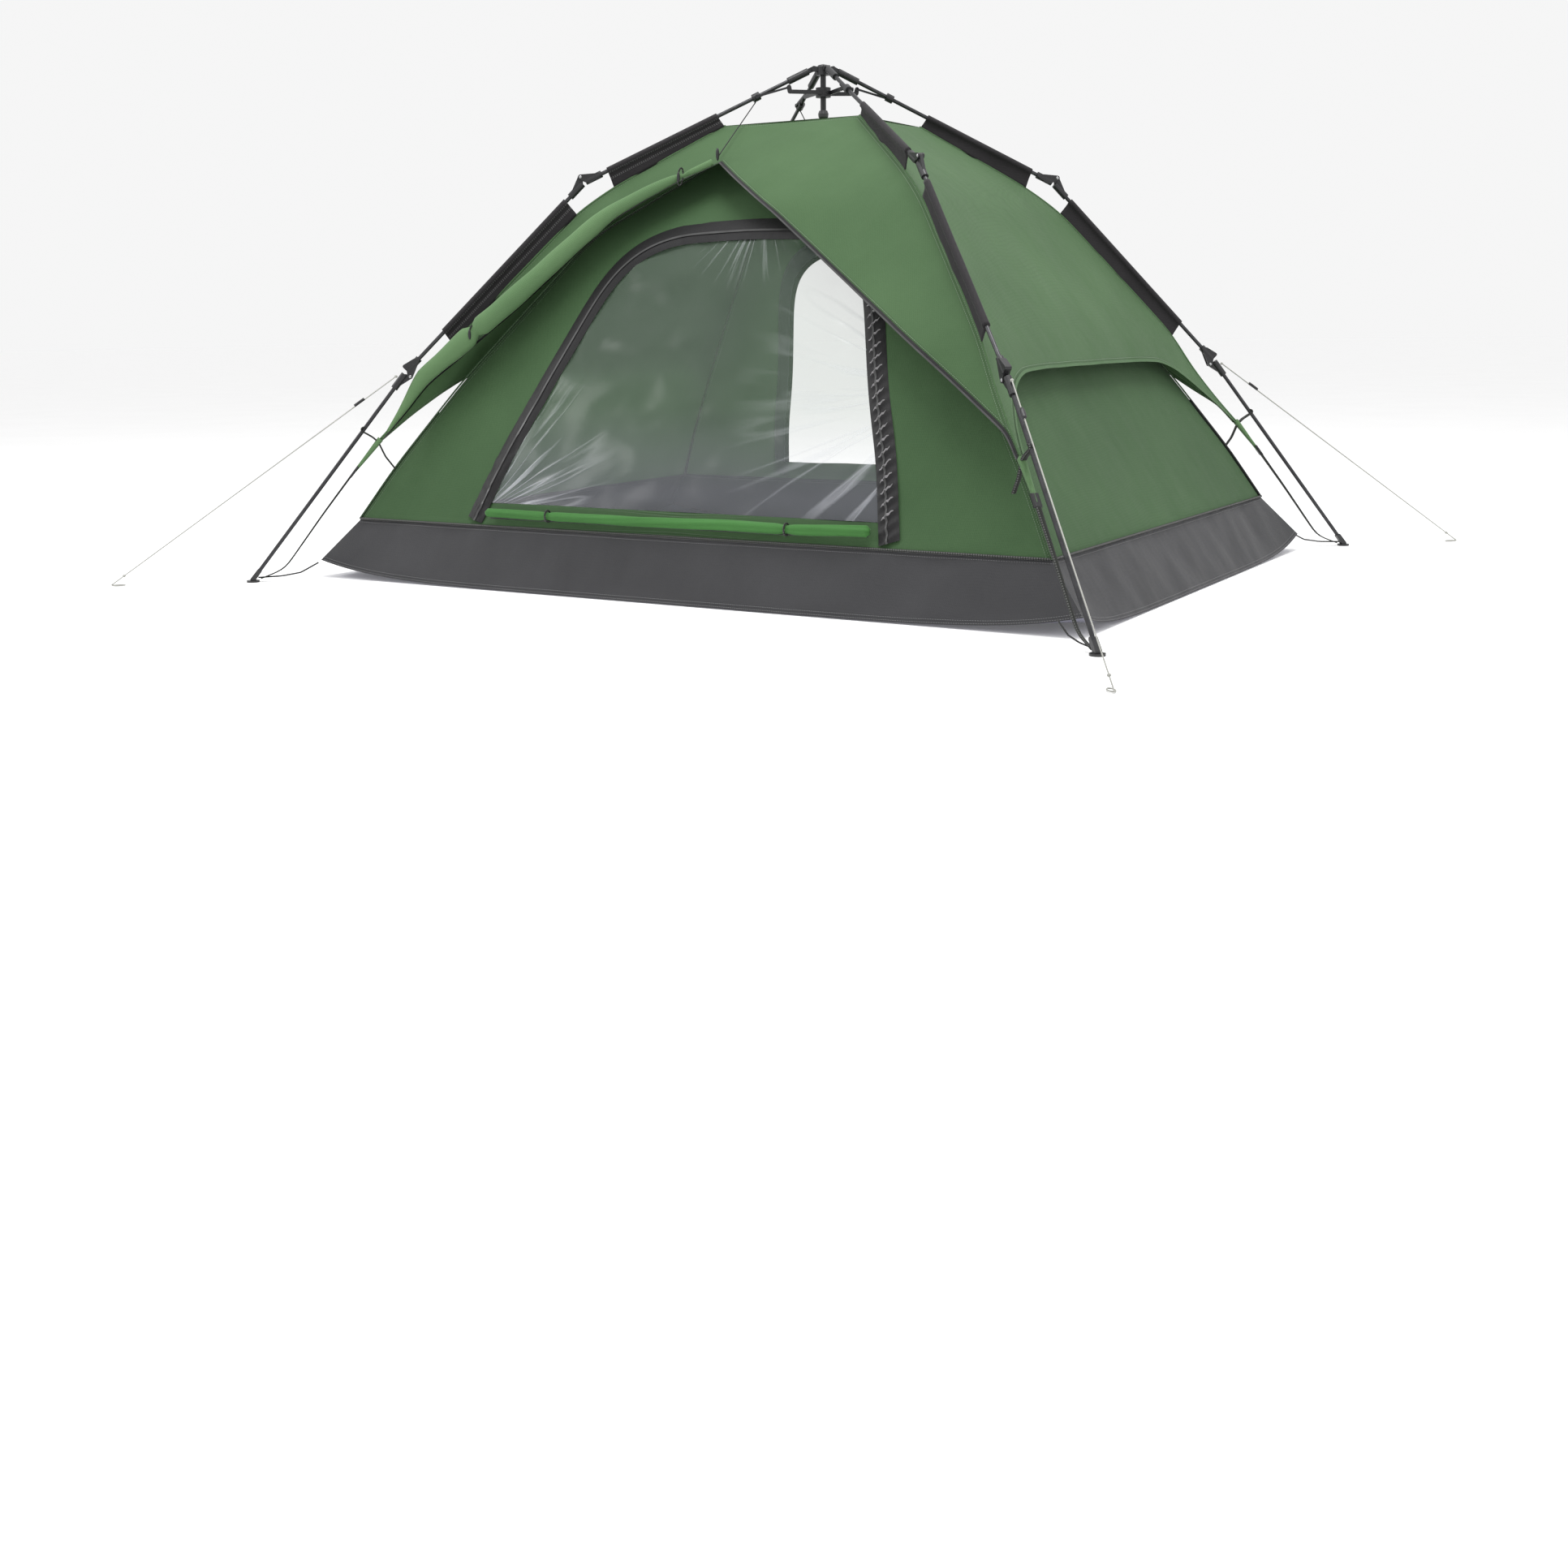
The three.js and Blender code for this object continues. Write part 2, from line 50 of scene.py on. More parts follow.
LEG_ANGLE = math.radians(40.28)
LEGS = {
    "front_left": math.pi + LEG_ANGLE,
    "front_right": -LEG_ANGLE,
    "back_right": LEG_ANGLE,
    "back_left": math.pi - LEG_ANGLE,
}
HUB_PIVOT = (0.026, 1.306)
KNEE = (0.641, 1.020)
ANKLE = (1.130, 0.541)
FOOT = (1.566, 0.007)

FLY_RIDGE = [
    (1.214, 0.363), (1.143, 0.435), (1.065, 0.524), (1.002, 0.614), (0.830, 0.782),
    (0.659, 0.945), (0.561, 1.009), (0.412, 1.086), (0.263, 1.163),
]
VEE_LEFT = [(-0.905, 0.372), (-0.819, 0.505), (-0.721, 0.584), (-0.585, 0.706), (-0.477, 0.819),
            (-0.378, 0.923), (-0.258, 0.997), (-0.143, 1.059)]
VEE_RIGHT = [(-0.143, 1.059), (0.100, 0.920), (0.492, 0.668), (0.669, 0.552), (0.872, 0.417), (0.912, 0.366)]
ARCH = [(-0.770, 0.366), (-0.700, 0.430), (-0.629, 0.480), (-0.548, 0.523), (-0.468, 0.543), (-0.300, 0.548),
        (0.0, 0.548), (0.300, 0.548), (0.468, 0.543), (0.548, 0.523), (0.629, 0.480), (0.700, 0.430),
        (0.770, 0.366)]
ROOF_SAG = 0.014

FLOOR = (1.100, 0.8525)
CORNER_LIFT = 0.044
TUB_TOP = (1.000, 0.790, 0.157)
INNER_LEVELS = [(1.000, 0.790, 0.157), (0.920, 0.727, 0.292), (0.763, 0.609, 0.520), (0.478, 0.394, 0.885),
                (0.191, 0.162, 1.090)]
DOOR_SIDE = [(0.578, 0.214), (0.540, 0.340), (0.490, 0.460), (0.438, 0.600), (0.390, 0.730), (0.350, 0.795)]
DOOR_CROWN = [(0.288, 0.842), (0.200, 0.868), (0.0, 0.874)]
BAND_WIDTH = 0.040
# The distance between the gathers of the zip tape
GATHER_PITCH = 0.028
# Where the rolled door lies and ends along the sill, and where it is tied
ROLL_Z = 0.190
ROLL_HALF = 0.560
ROLL_TIES = (-0.36, 0.34)

GUY_TOP = (1.153, 0.534)
GUY_END = (1.930, 0.004)
GUY_DIAMETER = 0.003
GUY_TURN = {"front_right": math.radians(-11.7)}

# How many wedges the cloth of each side is cut into
WEDGES_FRONT = 6
WEDGES_SIDE = 5
# The area in m2 below which a wedge joins its neighbour
SLIVER = 0.004


# ---- materials ----

THREAD_WIDTH = 0.0007
STITCH_PITCH = 0.006


class Look:
    """A material being built. An input given as a socket is linked, and one given as a value is set."""

    def __init__(self, name):
        self.material = bpy.data.materials.new(name)
        self.material.use_nodes = True
        self.material.node_tree.nodes.clear()
        self.shader = self.node("ShaderNodeBsdfPrincipled")
        self.out = self.node("ShaderNodeOutputMaterial", {"Surface": self.shader.outputs[0]})

    def node(self, kind, inputs=None, **settings):
        node = self.material.node_tree.nodes.new(kind)
        for setting, value in settings.items():
            setattr(node, setting, value)
        self.fill(node, inputs or {})
        return node

    def fill(self, node, inputs):
        for name, value in inputs.items():
            if isinstance(value, bpy.types.NodeSocket):
                self.material.node_tree.links.new(value, node.inputs[name])
            else:
                node.inputs[name].default_value = value

    def mix(self, share, under, over, blend="MIX"):
        """One colour laid over another by a share."""
        under, over = ((*colour, 1) if isinstance(colour, tuple) else colour for colour in (under, over))
        inputs = {0: share, 6: under, 7: over}
        return self.node("ShaderNodeMix", inputs, data_type="RGBA", blend_type=blend).outputs[2]

    def maths(self, operation, *values):
        """One or more numbers or sockets through a maths node."""
        return self.node("ShaderNodeMath", dict(enumerate(values)), operation=operation).outputs[0]

    def ranged(self, value, low, high, start=0.0, end=1.0):
        """A value that runs from start to end, turned into one that runs from low to high."""
        inputs = {"Value": value, "From Min": start, "From Max": end, "To Min": low, "To Max": high}
        return self.node("ShaderNodeMapRange", inputs).outputs[0]

    def place(self):
        """The x, y and z of a point in the object, in metres."""
        where = self.node("ShaderNodeTexCoord").outputs["Object"]
        return self.node("ShaderNodeSeparateXYZ", {0: where}).outputs

    def texture(self, kind, scale, detail, stretch=(1, 1, 1), turn=(0, 0, 0), distortion=0.0, **settings):
        where = self.node("ShaderNodeTexCoord").outputs["Object"]
        mapping = self.node("ShaderNodeMapping", {"Vector": where, "Scale": stretch, "Rotation": turn})
        inputs = {"Scale": scale, "Detail": detail, "Distortion": distortion, "Vector": mapping.outputs[0]}
        return self.node(kind, inputs, **settings).outputs["Fac"]

    def noise(self, scale, detail=2.0, **options):
        return self.texture("ShaderNodeTexNoise", scale, detail, **options)

    def weave(self, threads_per_m):
        """The height of a plain weave, as the greater of two crossed thread waves."""
        scale = threads_per_m / 6.28
        waves = [self.texture("ShaderNodeTexWave", scale, 0, turn=(0, 0, turn), bands_direction="DIAGONAL")
                 for turn in (0, math.pi / 2)]
        return self.maths("MAXIMUM", *waves)

    def bumps(self, layers):
        """Stacks bump nodes on the shader: layers is [(height socket, strength, distance)]."""
        below = {}
        for height, strength, distance in layers:
            inputs = {"Height": height, "Strength": strength, "Distance": distance, **below}
            below = {"Normal": self.node("ShaderNodeBump", inputs).outputs[0]}
        self.fill(self.shader, below)

    def stitching(self, edge, hem):
        """Two rows of stitches beside an edge, and the doubled cloth of its hem."""
        attribute = self.node("ShaderNodeAttribute", attribute_name=edge)
        along, away, _ = self.node("ShaderNodeSeparateXYZ", {0: attribute.outputs["Vector"]}).outputs
        step = self.maths("FRACT", self.maths("DIVIDE", along, STITCH_PITCH))
        dash = self.maths("LESS_THAN", step, 0.62)
        rows = [self.maths("COMPARE", away, hem * share, THREAD_WIDTH) for share in (0.3, 0.85)]
        thread = self.maths("MULTIPLY", dash, self.maths("MAXIMUM", *rows))
        return thread, self.maths("LESS_THAN", away, hem)

    def narrow_peak(self, value, width):
        """1 where a noise passes its middle value and 0 further away: thin winding lines, as creases make."""
        ramp = self.node("ShaderNodeValToRGB", {0: value})
        marks = ramp.color_ramp.elements
        marks[0].position, marks[0].color = 0.5 - width, (0, 0, 0, 1)
        marks[1].position, marks[1].color = 0.5 + width, (0, 0, 0, 1)
        marks.new(0.5).color = (1, 1, 1, 1)
        return ramp.outputs[0]

    def corner_creases(self, corner, seed, reach):
        """Thin straight creases that fan out from a corner (x, z) of the door and fade with distance."""
        place_x, _, place_z = self.place()
        x = self.maths("SUBTRACT", place_x, corner[0])
        z = self.maths("SUBTRACT", place_z, corner[1])
        squares = self.maths("ADD", self.maths("MULTIPLY", x, x), self.maths("MULTIPLY", z, z))
        far = self.maths("SQRT", squares)
        turn = self.maths("MULTIPLY", self.maths("ARCTAN2", z, x), 5.5)
        along = self.node("ShaderNodeCombineXYZ", {0: turn, 1: self.maths("MULTIPLY", far, 1.3), 2: seed})
        inputs = {"Scale": 1.0, "Detail": 2.0, "Vector": along.outputs[0]}
        fan = self.node("ShaderNodeTexNoise", inputs).outputs["Fac"]
        fade = self.ranged(far, 0, 1, start=reach, end=0.25 * reach)
        return self.maths("MULTIPLY", self.narrow_peak(fan, 0.045), fade)


def cloth_material(name, dark, light, threads=1100, roughness=0.75, glow=0.10, hem=0.014, folds=0.016,
                   painted_crease_highlights=0.0):
    """Coated woven cloth: patches of colour, threads with painted shade between them, stitched hems, soft
    folds, painted highlights along creases if asked, and light through it.
    """
    look = Look(name)
    patches = look.noise(3.2, 5)
    height = look.weave(threads)
    amount = look.maths("MULTIPLY_ADD", look.noise(240), 0.2, patches)
    colour = look.mix(look.maths("SUBTRACT", amount, 0.1), dark, light)
    # Painted shade: the colour is darkened by up to a quarter where the weave is low, between the threads.
    colour = look.mix(0.25, colour, height, "MULTIPLY")
    layers = []
    for edge in ("first_edge", "last_edge") if hem else ():
        thread, doubled = look.stitching(edge, hem)
        colour = look.mix(look.maths("MULTIPLY", doubled, 0.22), colour, tuple(0.55 * c for c in dark))
        colour = look.mix(look.maths("MULTIPLY", thread, 0.8), colour, tuple(0.12 + c for c in light))
        layers += [(doubled, 0.6, 0.0012), (thread, 0.5, 0.0008)]
    # Painted highlights: pale thin lines along creases, where the cloth would catch the light.
    if painted_crease_highlights:
        creased = look.noise(2.6, stretch=(0.5, 2.4, 1), turn=(0, 0, 0.6), distortion=0.25)
        line = look.maths("MULTIPLY", look.narrow_peak(creased, 0.010), painted_crease_highlights)
        colour = look.mix(line, colour, (0.75, 0.78, 0.82))
    soft = look.noise(6, 3, stretch=(1, 1, 0.45))
    look.bumps([(soft, 0.5, folds), *layers, (height, 0.35, 0.0006)])
    look.fill(look.shader, {
        "Base Color": colour,
        "Roughness": look.ranged(patches, roughness - 0.08, roughness + 0.08),
        "Sheen Weight": 0.08,
        "Sheen Roughness": 0.4,
        "Specular IOR Level": 0.25,
    })
    if glow:
        through = look.node("ShaderNodeBsdfTranslucent", {"Color": colour})
        inputs = {0: glow, 1: look.shader.outputs[0], 2: through.outputs[0]}
        look.fill(look.out, {"Surface": look.node("ShaderNodeMixShader", inputs).outputs[0]})
    return look.material


def film_material(name):
    """Clear soft film: grey-green, paler near the sill, with creases that fan out from the door's corners,
    drawn as bumps and as painted highlights.
    """
    look = Look(name)
    folds = look.noise(3, 3, stretch=(1, 1, 1.6), turn=(0.3, 0.6, 0.2), distortion=0.8)
    corners = (((-0.60, 0.18), 3.0, 0.42), ((0.70, 0.50), 5.0, 0.62), ((0.02, 0.97), 8.0, 0.24))
    fans = [look.corner_creases(corner, seed, reach) for corner, seed, reach in corners]
    line = look.maths("MAXIMUM", fans[0], look.maths("MAXIMUM", fans[1], fans[2]))
    look.bumps([(folds, 0.3, 0.012), (line, 0.4, 0.003)])
    milky = look.mix(folds, (0.165, 0.235, 0.17), (0.275, 0.36, 0.285))
    height = look.place()[2]
    milky = look.mix(look.ranged(height, 0, 0.6, start=0.46, end=0.27), milky, (0.40, 0.37, 0.47))
    look.fill(look.shader, {
        # Painted highlights: the creases are drawn paler and more opaque, as if they caught the light.
        "Base Color": look.mix(look.maths("MULTIPLY", line, 0.7), milky, (0.66, 0.67, 0.72)),
        "Alpha": look.ranged(line, 0.25, 0.58),
        "Roughness": 0.22,
        "Specular IOR Level": 0.5,
    })
    return look.material


def hard_material(name, dark, light, roughness, metallic=0.0, brushed=False, foot=None):
    """Metal or moulded plastic; foot is the height below which a pole is its black plastic foot."""
    look = Look(name)
    cloud = look.noise(35, 4)
    colour = look.mix(cloud, dark, light)
    if foot:
        below = look.maths("LESS_THAN", look.place()[2], foot)
        colour = look.mix(below, colour, (0.02, 0.02, 0.021))
        metallic = look.maths("MULTIPLY_ADD", below, -metallic, metallic)
    look.fill(look.shader, {
        "Base Color": colour,
        "Metallic": metallic,
        "Roughness": look.ranged(cloud, roughness - 0.1, roughness + 0.12),
    })
    look.bumps([(look.noise(700, 3, stretch=(1, 1, 0.06 if brushed else 1)), 0.25, 0.0006)])
    return look.material


FLY = cloth_material("fly_cloth", (0.046, 0.100, 0.038), (0.090, 0.170, 0.074))
# The fly's cloth made lighter as painted light, as if lit from above: used for the rolled flap and the corner
# strips.
LIT_FLY_CLOTH = cloth_material("fly_cloth_painted_lit", (0.085, 0.170, 0.070), (0.155, 0.270, 0.125), glow=0.04, hem=0)
HEM = cloth_material("fly_hem", (0.050, 0.108, 0.042), (0.095, 0.178, 0.078), glow=0.04, hem=0)
INNER = cloth_material("inner_cloth", (0.044, 0.098, 0.038), (0.086, 0.166, 0.072), glow=0.26)
TUB = cloth_material("tub_cloth", (0.026, 0.026, 0.028), (0.056, 0.056, 0.060), 800, 0.6, glow=0)
# The floor's blue-grey cloth, with painted highlights along its creases.
GROUND_SHEET = cloth_material("floor_cloth", (0.105, 0.105, 0.145), (0.235, 0.235, 0.32), roughness=0.42,
                              glow=0, painted_crease_highlights=0.5)
SLEEVE = cloth_material("sleeve_cloth", (0.010, 0.009, 0.010), (0.032, 0.029, 0.032), 600, glow=0, hem=0.005)
ZIP = cloth_material("zip_tape", (0.006, 0.006, 0.007), (0.022, 0.021, 0.022), 700, 0.45, glow=0, hem=0)
# Pale marks that paint the highlights on the gathered zip tape.
GATHER_HIGHLIGHT = cloth_material("zip_gather_highlight", (0.22, 0.21, 0.22), (0.40, 0.39, 0.40), 700, glow=0, hem=0)
BINDING = cloth_material("doorway_binding", (0.115, 0.112, 0.135), (0.21, 0.205, 0.24), hem=0.004)
TEETH = hard_material("zip_teeth", (0.02, 0.02, 0.02), (0.07, 0.07, 0.07), 0.35)
ROLL = cloth_material("rolled_door_cloth", (0.034, 0.125, 0.026), (0.070, 0.225, 0.055), glow=0, hem=0,
                      folds=0.03)
WEBBING = cloth_material("webbing", (0.010, 0.012, 0.010), (0.034, 0.036, 0.032), 500, glow=0, hem=0.003)
CORD = cloth_material("cord_braid", (0.30, 0.30, 0.28), (0.52, 0.52, 0.48), 1200, glow=0, hem=0)
ELASTIC = cloth_material("elastic_cord", (0.012, 0.012, 0.014), (0.05, 0.05, 0.05), 1200, glow=0, hem=0)
FILM = film_material("door_film")
STEEL = hard_material("pole_steel", (0.028, 0.028, 0.030), (0.080, 0.080, 0.084), 0.34, 0.8, brushed=True)
FOOT_STEEL = hard_material("lower_pole_steel", (0.026, 0.026, 0.028), (0.072, 0.072, 0.076), 0.34, 0.8,
                           brushed=True, foot=0.030)
DARK_STEEL = hard_material("strut_steel", (0.02, 0.02, 0.022), (0.055, 0.055, 0.06), 0.4, 0.6, brushed=True)
RIVET = hard_material("rivet_steel", (0.30, 0.30, 0.31), (0.5, 0.5, 0.5), 0.28, 0.9)
NYLON = hard_material("black_nylon", (0.006, 0.006, 0.007), (0.020, 0.020, 0.022), 0.42)
GRIP = hard_material("grip_plastic", (0.035, 0.034, 0.036), (0.085, 0.082, 0.085), 0.35)


# ---- geometry helpers ----


def unit(v):
    v = np.asarray(v, float)
    return v / np.linalg.norm(v)


UPPER = unit(np.subtract(KNEE, HUB_PIVOT))
MIDDLE = unit(np.subtract(ANKLE, KNEE))
LOWER = unit(np.subtract(FOOT, ANKLE))


def outward(way):
    """The normal of a pole in its leg's plane, on the outer side."""
    return np.array([-way[1], way[0]])


def leg_point(corner, r, z, across=0.0):
    a = LEGS[corner]
    return Vector((r * math.cos(a) - across * math.sin(a), r * math.sin(a) + across * math.cos(a), z))


def resample(line, count):
    line = np.asarray(line, float)
    reach = np.concatenate([[0], np.cumsum(np.linalg.norm(np.diff(line, axis=0), axis=1))])
    at = np.linspace(0, reach[-1], count)
    return np.stack([np.interp(at, reach, line[:, k]) for k in range(line.shape[1])], axis=1)


def rounded(line, count, passes=3):
    """An outline resampled and softened at its corners, with its ends kept."""
    points = resample(line, count)
    for _ in range(passes):
        points[1:-1] = 0.25 * points[:-2] + 0.5 * points[1:-1] + 0.25 * points[2:]
    return points


def new_mesh(name, points, faces, materials, indices=None, edges=None):
    mesh = bpy.data.meshes.new(name)
    mesh.from_pydata([tuple(p) for p in points], [], [tuple(f) for f in faces])
    for material in materials:
        mesh.materials.append(material)
    if indices is not None:
        mesh.polygons.foreach_set("material_index", np.asarray(indices, np.int32))
    if edges is not None:
        for k, edge in enumerate(("first_edge", "last_edge")):
            attribute = mesh.attributes.new(edge, "FLOAT_VECTOR", "POINT")
            attribute.data.foreach_set("vector", np.asarray(edges, np.float32)[:, k].ravel())
    mesh.polygons.foreach_set("use_smooth", np.ones(len(mesh.polygons), bool))
    mesh.update()
    return mesh


def new_object(name, mesh):
    obj = bpy.data.objects.new(name, mesh)
    bpy.context.scene.collection.objects.link(obj)
    return obj


def grid(rows, closed=False, capped=False):
    """Points and faces of a grid given as an array of rows; closed joins each row's ends."""
    rows = np.asarray(rows, float)
    n, m, _ = rows.shape
    faces = []
    for i in range(n - 1):
        for j in range(m if closed else m - 1):
            k = (j + 1) % m
            faces.append((i * m + j, i * m + k, (i + 1) * m + k, (i + 1) * m + j))
    if capped:
        faces.append(tuple(reversed(range(m))))
        faces.append(tuple(range((n - 1) * m, n * m)))
    return rows.reshape(-1, 3), faces


def edge_distances(rows):
    """For each point of a patch: how far along its first and last edges it is, and how far from each."""
    rows = np.asarray(rows, float)
    across = np.linalg.norm(np.diff(rows, axis=1), axis=2)
    away = np.concatenate([np.zeros((len(rows), 1)), np.cumsum(across, axis=1)], axis=1)
    found = []
    for column, distance in ((0, away), (-1, away[:, -1:] - away)):
        steps = np.linalg.norm(np.diff(rows[:, column], axis=0), axis=1)
        along = np.concatenate([[0], np.cumsum(steps)])[:, None] + np.zeros_like(distance)
        found.append(np.stack([along, distance, np.zeros_like(along)], axis=2).reshape(-1, 3))
    return np.stack(found, axis=1)


class Cloth:
    """Patches of one sewn cloth piece, each with its material, gathered into one list of points and faces."""

    def __init__(self):
        self.points, self.faces, self.indices, self.materials, self.edges = [], [], [], [], []

    def add(self, rows, material, closed=False, capped=False):
        points, faces = grid(rows, closed, capped)
        if material not in self.materials:
            self.materials.append(material)
        first = len(self.points)
        self.points += [tuple(p) for p in points]
        self.edges += list(edge_distances(rows))
        self.faces += [tuple(first + k for k in f) for f in faces]
        self.indices += [self.materials.index(material)] * len(faces)
        return self

    def form(self, rows, material):
        """Adds a closed form with capped ends."""
        return self.add(rows, material, closed=True, capped=True)

    def half_turn(self):
        """A copy of this piece, turned half a turn about the axis of the tent."""
        other = Cloth()
        other.points = [(-x, -y, z) for x, y, z in self.points]
        other.faces, other.indices = list(self.faces), list(self.indices)
        other.materials, other.edges = list(self.materials), list(self.edges)
        return other

    def mirrored(self):
        """A copy of this piece on the other side of the tent's length."""
        other = self.half_turn()
        other.points = [(x, -y, z) for x, y, z in self.points]
        other.faces = [tuple(reversed(f)) for f in self.faces]
        return other

    def mesh(self, name):
        return new_mesh(name, self.points, self.faces, self.materials, self.indices, self.edges)


def soft_noise(p, scale, seed):
    return noise.noise(Vector((p[0] * scale + seed, p[1] * scale - seed, p[2] * scale + 2 * seed)))


def wrinkled(rows, height, scale, seed, stretch, fade):
    """Moves the points of a patch by smooth noise along their normals, and by nothing where fade is 0."""
    rows = np.asarray(rows, float)
    du = np.gradient(rows, axis=0)
    dv = np.gradient(rows, axis=1)
    normals = np.cross(dv, du)
    normals /= np.maximum(np.linalg.norm(normals, axis=2, keepdims=True), 1e-9)
    moved = rows.copy()
    for i, j in np.ndindex(rows.shape[:2]):
        p = rows[i, j] * stretch
        amount = height * (soft_noise(p, scale, seed) + 0.5 * soft_noise(p, 2.7 * scale, seed + 9))
        moved[i, j] += normals[i, j] * amount * fade[i, j]
    return moved


def held_edges(rows, ends):
    """A fade of 1 over a patch, and of 0 along its two sides and the rows at its held ends."""
    fade = np.ones(np.shape(rows)[:2])
    fade[:, [0, -1]] = 0
    fade[ends] = 0
    return fade


def between(inner, outer, columns, place):
    """Rows that run from an inner outline to an outer one, both as (across, height) points."""
    t = np.linspace(0, 1, columns + 1)
    rows = []
    for a, b in zip(inner, outer):
        rows.append([place(*(a + (b - a) * k)) for k in t])
    return np.array(rows)


# ---- gathering: cloth is cut into upright wedges about the axis ----


def wedge_edges():
    front = np.linspace(-math.pi + LEG_ANGLE, -LEG_ANGLE, WEDGES_FRONT + 1)
    side = np.linspace(-LEG_ANGLE, LEG_ANGLE, WEDGES_SIDE + 1)
    half = list(front[:-1]) + list(side[:-1])
    return half + [a + math.pi for a in half]


EDGES = wedge_edges()


def wedge_of(x, y):
    angle = (math.atan2(y, x) - EDGES[0]) % (2 * math.pi) + EDGES[0]
    return max(k for k, edge in enumerate(EDGES) if angle >= edge - 1e-9)


def wedge_faces(bm):
    """The faces of each wedge; a sliver goes with the wedge beside it."""
    groups = {}
    for face in bm.faces:
        middle = face.calc_center_median()
        groups.setdefault(wedge_of(middle.x, middle.y), []).append(face)
    for wedge in [w for w, faces in groups.items() if sum(f.calc_area() for f in faces) < SLIVER]:
        near = [w % len(EDGES) for w in (wedge - 1, wedge + 1) if w % len(EDGES) in groups]
        if near:
            groups[near[0]] += groups.pop(wedge)
    return groups


def wedge_mesh(bm, faces, name, materials):
    """A mesh with only these faces, shaded as the whole is."""
    kept = {f.index for f in faces}
    part = bm.copy()
    bmesh.ops.delete(part, geom=[f for f in part.faces if f.index not in kept], context="FACES")
    mesh = bpy.data.meshes.new(name)
    part.to_mesh(mesh)
    part.free()
    for material in materials:
        mesh.materials.append(material)
    normals = np.zeros(len(mesh.vertices) * 3, np.float32)
    mesh.attributes["whole_normal"].data.foreach_get("vector", normals)
    mesh.attributes.remove(mesh.attributes["whole_normal"])
    mesh.normals_split_custom_set_from_vertices(normals.reshape(-1, 3).tolist())
    return mesh


def gather(cloth, name, body, replaces, held=None):
    """Makes a cloth's pieces: one mesh for each wedge it crosses, with the shading of the whole."""
    bm = bmesh.new()
    bm.from_mesh(cloth.mesh(name))
    for edge in EDGES[: len(EDGES) // 2]:
        everything = bm.verts[:] + bm.edges[:] + bm.faces[:]
        across = (-math.sin(edge), math.cos(edge), 0)
        bmesh.ops.bisect_plane(bm, geom=everything, dist=1e-6, plane_co=(0, 0, 0), plane_no=across)
    bm.normal_update()
    normal = bm.verts.layers.float_vector.new("whole_normal")
    for vert in bm.verts:
        vert[normal] = vert.normal
    bm.faces.index_update()
    pieces = []
    for wedge, faces in sorted(wedge_faces(bm).items()):
        piece_name = f"{name}_{wedge + 1:02d}"
        piece = new_object(piece_name, wedge_mesh(bm, faces, piece_name, cloth.materials))
        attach(piece, body)
        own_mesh(piece)
        pieces.append(piece)
        if held:
            declare_sheet(piece)
    bm.free()
    for node in replaces:
        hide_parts(node)
    return pieces


def declare_sheet(piece, layers=1):
    """A sheet's flat size, from its area and its longest side."""
    points = np.array([v.co for v in piece.data.vertices])
    area = sum(p.area for p in piece.data.polygons) / layers
    spread = points - points.mean(0)
    axes = np.linalg.svd(spread, full_matrices=False)[2]
    length, width = np.ptp(spread @ axes[0]), np.ptp(spread @ axes[1])
    width = max(width, area / length)
    width = min(width, area / length / 0.35)


# ---- fly sheet ----

COS, SIN = math.cos(LEG_ANGLE), math.sin(LEG_ANGLE)
RIDGE_STEPS = 90
# The row of the front outline that the peak of the vee is joined to
PEAK = RIDGE_STEPS + 17
FLAP_TIES = (0.33, 0.93)
ridge_line = rounded(FLY_RIDGE, RIDGE_STEPS, 12)


def fly_reach(z):
    return float(np.interp(z, ridge_line[:, 1], ridge_line[:, 0]))


def bow(across, reach, depth):
    """Taut cloth between two ridges bends in a little towards the tent."""
    t = min(abs(across) / max(reach, 1e-6), 1)
    return depth * (1 - t * t) * min(1.0, reach / 0.6)


def on_fly_front(x, z):
    reach = fly_reach(z)
    return (x, -reach * SIN + bow(x, reach * COS, 0.016), z)


def on_fly_right(y, z):
    reach = fly_reach(z)
    return (reach * COS - bow(y, reach * SIN, 0.020), y, z)


def ridge_outline(share):
    rise = np.stack([-ridge_line[:, 0] * share, ridge_line[:, 1]], axis=1)
    fall = rise[::-1] * (-1, 1)
    top = np.linspace(rise[-1], fall[0], 40)[1:-1]
    return np.concatenate([resample(rise, RIDGE_STEPS), top, resample(fall, RIDGE_STEPS)])


def seam_fade(rows, width=6):
    """1 in the middle of a patch and 0 at its outer edge, where it is sewn."""
    n, m, _ = rows.shape
    return np.tile(np.clip((m - 1 - np.arange(m)) / width, 0, 1), (n, 1))


fly, fly_side = Cloth(), Cloth()
front_outline, side_outline = ridge_outline(COS), ridge_outline(SIN)
vee = np.concatenate([rounded(VEE_LEFT, PEAK, 10), rounded(VEE_RIGHT, len(front_outline) - PEAK + 1, 4)[1:]])
arch = rounded(ARCH, len(side_outline), 20)
front_rows = between(vee, front_outline, 26, on_fly_front)
front_rows = wrinkled(front_rows, 0.005, 4.0, 3.1, (1, 1, 0.5), seam_fade(front_rows))
side_rows = between(arch, side_outline, 30, on_fly_right)
side_rows = wrinkled(side_rows, 0.005, 3.4, 7.7, (1, 0.8, 0.6), seam_fade(side_rows))
fly.add(front_rows, FLY)


def edge_strip(rows, width, lift, across):
    """A tape along the first column of a patch, lifted off it."""
    raised = np.array(across) * lift
    strip = []
    for edge, inside in zip(rows[:, 0], rows[:, 4]):
        way = unit(inside - edge)
        strip.append([edge - way * 0.002 + raised, edge + way * width + raised])
    return np.array(strip)


def heading(points, i):
    """The direction of a line near its point i."""
    return unit(points[min(i + 1, len(points) - 1)] - points[max(i - 1, 0)])


def circle(count):
    """The angles of a ring of points."""
    return np.linspace(0, 2 * math.pi, count, endpoint=False)


